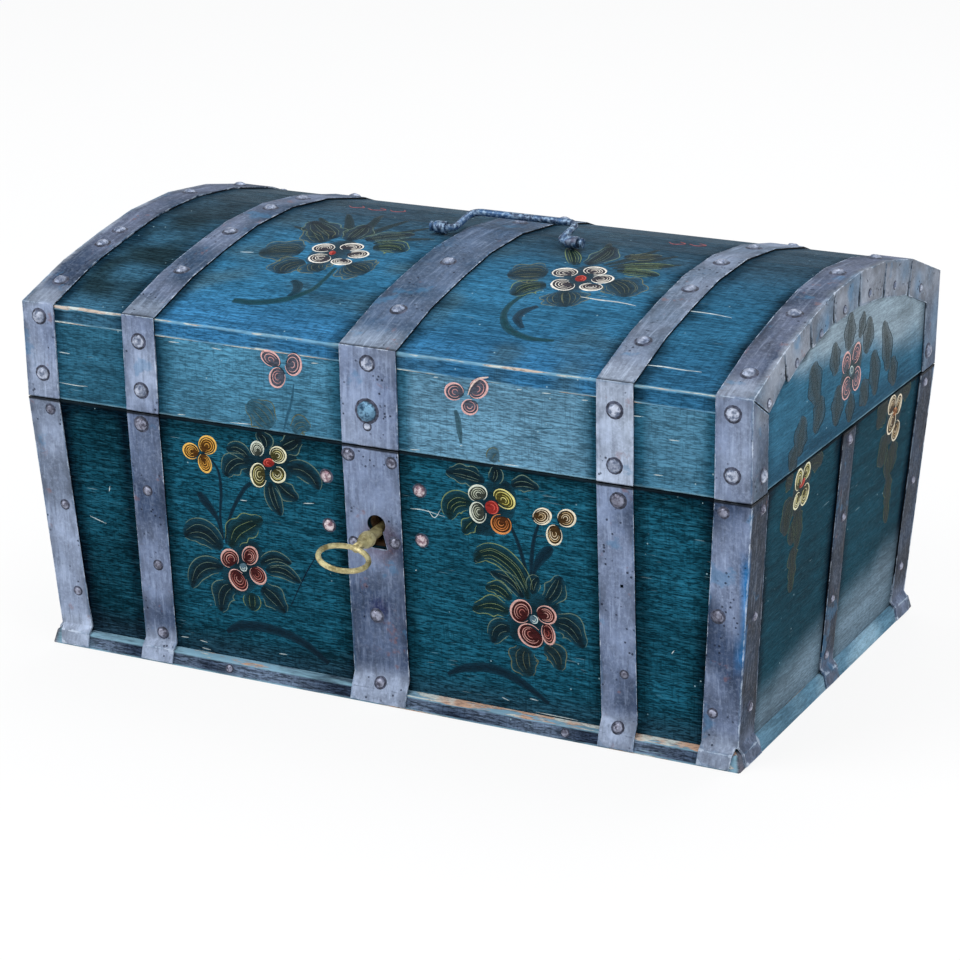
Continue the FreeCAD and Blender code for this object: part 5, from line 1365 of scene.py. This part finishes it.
def nail_heads(name, body, places, node, seed, iron, steps=9, rough=0.16):
    """All the heads of one kind of nail on one body, each in a ring of painted shadow."""
    bm = bmesh.new()
    crown = bm.verts.layers.float.new("crown")
    dice = random.Random(seed)
    for place in places:
        hammered_head(bm, crown, dice, place, HEAD_PROFILE, steps, rough, None)
        before = set(bm.faces)
        # Ring of painted shadow under the head
        hammered_head(bm, crown, dice, place, SHADOW_RING_PROFILE, 14, 0.1, 0.0)
        for f in bm.faces:
            if f not in before:
                f.material_index = 1
    bmesh.ops.recalc_face_normals(bm, faces=bm.faces)
    return finished(bm, name, body, [iron, made("grime", grime)], [node], 22)


class BoxOperator(bpy.types.Operator):
    """Shared ground of the operators that build the box."""
    bl_options = {"REGISTER", "UNDO"}

    def execute(self, context):
        self.build(context.scene.painted_box_sizes)
        return {"FINISHED"}


class PAINTEDBOX_OT_body_boards(BoxOperator):
    """Painted front, back and end boards and the plinth"""
    bl_idname = "paintedbox.body_boards"
    bl_label = "Body boards"

    def build(self, sizes):
        along_x = made("body_paint_along_length", painted_wood, "X", 0.85)
        along_y = made("body_paint_along_depth", painted_wood, "Y", 0.3)
        for node, material, axes, ground, wear in (
                ("front_board", along_x, (0, 2), front_ground, rim_wear),
                ("back_board", along_x, (0, 2), back_ground, rim_wear),
                ("left_end_board", along_y, (1, 2), end_ground, rim_wear),
                ("right_end_board", along_y, (1, 2), end_ground, rim_wear),
                ("plinth_front", along_x, (0,), plinth_ground, plinth_wear),
                ("plinth_back", along_x, (0,), plinth_ground, plinth_wear),
                ("plinth_left", along_y, (1,), plinth_ground, plinth_wear),
                ("plinth_right", along_y, (1,), plinth_ground, plinth_wear)):
            dress(node, "painted_" + node, "box_body", material, sizes.board_round,
                  sizes.board_cell, axes, ground, wear)


class PAINTEDBOX_OT_lid_boards(BoxOperator):
    """Painted rails, gables and staves of the lid"""
    bl_idname = "paintedbox.lid_boards"
    bl_label = "Lid boards"

    def build(self, sizes):
        along_x = made("lid_paint_along_length", painted_wood, "X", 0.6)
        along_y = made("lid_paint_along_depth", painted_wood, "Y", 0.26)
        rows = [
            ("lid_front_rail", along_x, (0, 2), lid_front_ground, lid_rail_wear),
            ("lid_back_rail", along_x, (0, 2), lid_back_ground, lid_rail_wear),
            ("lid_left_gable", along_y, (1, 2), gable_ground, gable_wear),
            ("lid_right_gable", along_y, (1, 2), gable_ground, gable_wear),
        ]
        for i in range(1, len(DOME)):
            rows.append(("lid_stave_%d" % i, along_x, (0, 1), dome_ground, stave_wear))
        for node, material, axes, ground, wear in rows:
            dress(node, "painted_" + node, "lid", material, sizes.board_round,
                  sizes.board_cell, axes, ground, wear)


class PAINTEDBOX_OT_body_straps(BoxOperator):
    """Iron straps of the body and their hinge leaves"""
    bl_idname = "paintedbox.body_straps"
    bl_label = "Body straps"

    def build(self, sizes):
        iron = made("strap_iron_down", strap_iron, True)
        for node in (
                "corner_strap_front_left", "corner_strap_front_right", "corner_strap_back_left",
                "corner_strap_back_right", "front_strap_left", "front_strap_right", "lock_strap", "end_strap_left",
                "end_strap_right", "back_strap_centre", "hinge_strap_left", "hinge_strap_right"):
            dress(node, "iron_" + node, "box_body", iron, sizes.strap_round, sizes.strap_cell,
                  (0, 1, 2), body_strap_ground, strap_wear, sizes.hammering)


class PAINTEDBOX_OT_lid_straps(BoxOperator):
    """Iron straps of the lid with their tabs and hinge leaves"""
    bl_idname = "paintedbox.lid_straps"
    bl_label = "Lid straps"

    def build(self, sizes):
        iron = made("strap_iron_over", strap_iron, False)
        for node in (
                "lid_corner_strap_left", "lid_corner_strap_right", "lid_strap_left", "lid_strap_right",
                "lid_strap_centre"):
            dress(node, "iron_" + node, "lid", iron, sizes.strap_round, sizes.strap_cell,
                  (0, 1, 2), lid_strap_ground, strap_wear, sizes.hammering)


class PAINTEDBOX_OT_nails(BoxOperator):
    """Hammered heads of the nails, the rivets and the round-headed bolt"""
    bl_idname = "paintedbox.nails"
    bl_label = "Nails"

    def build(self, sizes):
        front_way = body_front(0, RIM)[1]
        lid_way = lid_front(0, ARRIS)[1]
        c = palette()
        bright = made("nail_bright", nail_iron, tint_of(c.nail_steel), tint(92, 104, 128))
        dull = made("nail_dull", nail_iron, tint_of(c.nail_dull), tint(70, 70, 86))
        pink = made("nail_pink", nail_iron, tint_of(c.nail_pink), tint(122, 92, 104))
        blue = made("bolt_blue", nail_iron, tint(120, 166, 196), tint(24, 66, 94))
        for name, body, node, iron in (
                ("body_nail_heads", "box_body", "body_nails", dull),
                ("plinth_nail_heads", "box_body", "plinth_nails", dull),
                ("lid_nail_heads", "lid", "lid_nails", bright), ("tab_nail_heads", "lid", "tab_nails", bright)):
            nail_heads(name, body, pointed_nails(node), node, 11 + len(name), iron)
        nail_heads("rivet_heads", "box_body", headed_rivets("lock_rivets", front_way), "lock_rivets", 15, pink)
        nail_heads("bolt_head", "lid", headed_rivets("lid_boss", lid_way), "lid_boss", 16, blue, 13, 0.12)


class PAINTEDBOX_OT_key(BoxOperator):
    """Brass key with its round bow"""
    bl_idname = "paintedbox.key"
    bl_label = "Key"

    def build(self, sizes):
        bm = merged_copy("key")
        finished(bm, "brass_key", "key", [made("brass_key", brass_key)], ["key"], 42)


class PAINTEDBOX_OT_handle(BoxOperator):
    """Drop handle and its two eyes"""
    bl_idname = "paintedbox.handle"
    bl_label = "Handle"

    def build(self, sizes):
        iron = made("handle_iron", handle_iron)
        bm = merged_copy("handle_bail")
        finished(bm, "drop_handle", "handle", [iron], ["handle_bail"], 50)
        bm = merged_copy("handle_eyes")
        finished(bm, "handle_loops", "lid", [iron], ["handle_eyes"], 40)


class PAINTEDBOX_OT_front_painting(BoxOperator):
    """Flowers, leaves and scratches on the body's front"""
    bl_idname = "paintedbox.front_painting"
    bl_label = "Front painting"

    def build(self, sizes):
        brush = brush_for(body_front, 21, front_ground, FRONT_PETALS, FRONT_HEARTS, FRONT_LEAVES, FRONT_STEMS)
        scratch_lines(brush, SCRATCHES["body_front"])
        brush.piece("front_flowers", "box_body", high=RIM - PAINT_BORDER)


class PAINTEDBOX_OT_lid_painting(BoxOperator):
    """Flowers, leaves and scratches on the lid's front and dome"""
    bl_idname = "paintedbox.lid_painting"
    bl_label = "Lid painting"

    def build(self, sizes):
        brush = brush_for(lid_front, 22, lid_front_ground, LID_FRONT_PETALS, [], LID_FRONT_LEAVES, LID_FRONT_STEMS)
        scratch_lines(brush, SCRATCHES["lid_front"])
        brush.piece("lid_front_flowers", "lid", low=SEAM + PAINT_BORDER)
        brush = brush_for(dome_top, 23, dome_ground, DOME_PETALS, DOME_HEARTS, [
            (colours, width * 1.25, lobes, veins + 2, points) for colours, width, lobes, veins, points in DOME_LEAVES
        ], DOME_STEMS)
        brush.piece("dome_flowers", "lid")


class PAINTEDBOX_OT_end_painting(BoxOperator):
    """Flowers and leaves on both ends of the body and both gables"""
    bl_idname = "paintedbox.end_painting"
    bl_label = "End painting"

    def build(self, sizes):
        piece = brush_for(right_end, 24, end_ground, END_PETALS, END_HEARTS, END_LEAVES, []).piece(
            "right_end_flowers", "box_body", "Y", high=RIM - PAINT_BORDER)
        mirrored_piece(piece, "left_end_flowers", "box_body")
        piece = brush_for(
            right_gable, 25, gable_ground, GABLE_PETALS, GABLE_HEARTS, GABLE_LEAVES, []).piece(
                "right_gable_flowers", "lid", "Y", low=SEAM + PAINT_BORDER)
        mirrored_piece(piece, "left_gable_flowers", "lid")


class PAINTEDBOX_OT_inside(BoxOperator):
    """Finishes of the solids that stay as they are: the bottom, the lock and the hinge pins"""
    bl_idname = "paintedbox.inside"
    bl_label = "Inside"

    def build(self, sizes):
        iron = made("dark_iron", dark_iron)
        for node, material in (
                ("bottom_board", made("inside_wood", inside_wood)), ("lock_plate", iron), ("lock_cap", iron),
                ("lock_bolt", iron), ("bolt_spring", iron), ("lid_staple", iron), ("hinge_pins", iron)):
            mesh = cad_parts[node].data
            mesh.materials.clear()
            mesh.materials.append(material)


class PAINTEDBOX_OT_stage(bpy.types.Operator):
    """Floor, light and camera"""
    bl_idname = "paintedbox.stage"
    bl_label = "Stage"
    bl_options = {"REGISTER", "UNDO"}

    def execute(self, context):
        settings = context.scene.painted_box_stage
        self.floor(settings.floor_half)
        self.world(context.scene)
        self.lamp("large_lamp", (-1.6, -1.9, 2.5), 2.4, 62)
        self.lamp("side_lamp", (2.6, -1.0, 1.3), 1.8, 22)
        self.lamp("top_lamp", (0.2, 1.3, 2.6), 2.0, 34)
        self.camera(context.scene, settings)
        context.scene.view_settings.view_transform = "Standard"
        return {"FINISHED"}

    def floor(self, half):
        bm = bmesh.new()
        bmesh.ops.create_grid(bm, x_segments=1, y_segments=1, size=half)
        placed(bm, "floor", [self.floor_material()])

    def floor_material(self):
        r = Recipe("floor_white")
        path = r.add("ShaderNodeLightPath")
        seen = r.sum(path.outputs["Is Camera Ray"], path.outputs["Is Glossy Ray"], path.outputs["Is Transmission Ray"])
        glow = r.add("ShaderNodeEmission")
        glow.inputs["Color"].default_value = (1, 1, 1, 1)
        r.shader.inputs["Base Color"].default_value = (0.86, 0.86, 0.86, 1)
        r.shader.inputs["Roughness"].default_value = 0.9
        mix = r.add("ShaderNodeMixShader")
        r.join(r.product(seen, 0.86), mix.inputs["Fac"])
        r.tree.links.new(r.shader.outputs[0], mix.inputs[1])
        r.tree.links.new(glow.outputs[0], mix.inputs[2])
        r.tree.links.new(mix.outputs[0], r.tree.nodes["Material Output"].inputs["Surface"])
        return r.material

    def world(self, scene):
        world = bpy.data.worlds.new("studio")
        scene.world = world
        world.use_nodes = True
        tree = world.node_tree
        soft = tree.nodes["Background"]
        soft.inputs["Color"].default_value = (0.92, 0.95, 1.0, 1)
        soft.inputs["Strength"].default_value = 0.62
        white = tree.nodes.new("ShaderNodeBackground")
        white.inputs["Color"].default_value = (1, 1, 1, 1)
        path = tree.nodes.new("ShaderNodeLightPath")
        mix = tree.nodes.new("ShaderNodeMixShader")
        tree.links.new(path.outputs["Is Camera Ray"], mix.inputs["Fac"])
        tree.links.new(soft.outputs[0], mix.inputs[1])
        tree.links.new(white.outputs[0], mix.inputs[2])
        tree.links.new(mix.outputs[0], tree.nodes["World Output"].inputs["Surface"])

    def lamp(self, name, place, size, power):
        data = bpy.data.lights.new(name, "AREA")
        data.size = size
        data.energy = power
        lamp = bpy.data.objects.new(name, data)
        lamp.location = place
        lamp.rotation_mode = "QUATERNION"
        lamp.rotation_quaternion = (Vector((0, 0, 0.12)) - Vector(place)).to_track_quat("-Z", "Y")
        bpy.context.scene.collection.objects.link(lamp)

    def camera(self, scene, settings):
        a, e, roll = settings.azimuth, settings.elevation, settings.roll
        back = Vector((math.sin(a) * math.cos(e), -math.cos(a) * math.cos(e), math.sin(e)))
        right = Vector((math.cos(a), math.sin(a), 0))
        up = back.cross(right)
        right, up = right * math.cos(roll) + up * math.sin(roll), up * math.cos(roll) - right * math.sin(roll)
        data = bpy.data.cameras.new("camera")
        data.lens = settings.lens
        data.sensor_width = 36
        camera = bpy.data.objects.new("camera", data)
        camera.rotation_mode = "QUATERNION"
        camera.rotation_quaternion = Matrix((right, up, back)).transposed().to_quaternion()
        camera.location = settings.camera_place
        scene.collection.objects.link(camera)
        scene.camera = camera


STEPS = (
    PAINTEDBOX_OT_body_boards, PAINTEDBOX_OT_lid_boards, PAINTEDBOX_OT_body_straps, PAINTEDBOX_OT_lid_straps,
    PAINTEDBOX_OT_nails, PAINTEDBOX_OT_key, PAINTEDBOX_OT_handle, PAINTEDBOX_OT_front_painting,
    PAINTEDBOX_OT_lid_painting, PAINTEDBOX_OT_end_painting, PAINTEDBOX_OT_inside, PAINTEDBOX_OT_stage,
)


class PAINTEDBOX_PT_panel(bpy.types.Panel):
    """Lists the steps that build the box"""
    bl_label = "Painted box"
    bl_idname = "PAINTEDBOX_PT_panel"
    bl_space_type = "VIEW_3D"
    bl_region_type = "UI"
    bl_category = "Painted box"

    def draw(self, context):
        for step in STEPS:
            self.layout.operator(step.bl_idname)
        for group in (context.scene.painted_box_colours, context.scene.painted_box_sizes):
            box = self.layout.box()
            for name in group.bl_rna.properties.keys():
                if name not in ("rna_type", "name"):
                    box.prop(group, name)


GROUPS = (
    ("painted_box_colours", PaintedBoxColours), ("painted_box_sizes", PaintedBoxSizes),
    ("painted_box_stage", PaintedBoxStage),
)


def register():
    for name, group in GROUPS:
        bpy.utils.register_class(group)
        setattr(bpy.types.Scene, name, bpy.props.PointerProperty(type=group))
    for step in STEPS:
        bpy.utils.register_class(step)
    bpy.utils.register_class(PAINTEDBOX_PT_panel)


def unregister():
    bpy.utils.unregister_class(PAINTEDBOX_PT_panel)
    for step in reversed(STEPS):
        bpy.utils.unregister_class(step)
    for name, group in reversed(GROUPS):
        delattr(bpy.types.Scene, name)
        bpy.utils.unregister_class(group)


def main():
    register()
    for step in STEPS:
        family, action = step.bl_idname.split(".")
        getattr(getattr(bpy.ops, family), action)()


if __name__ == "__main__":
    main()
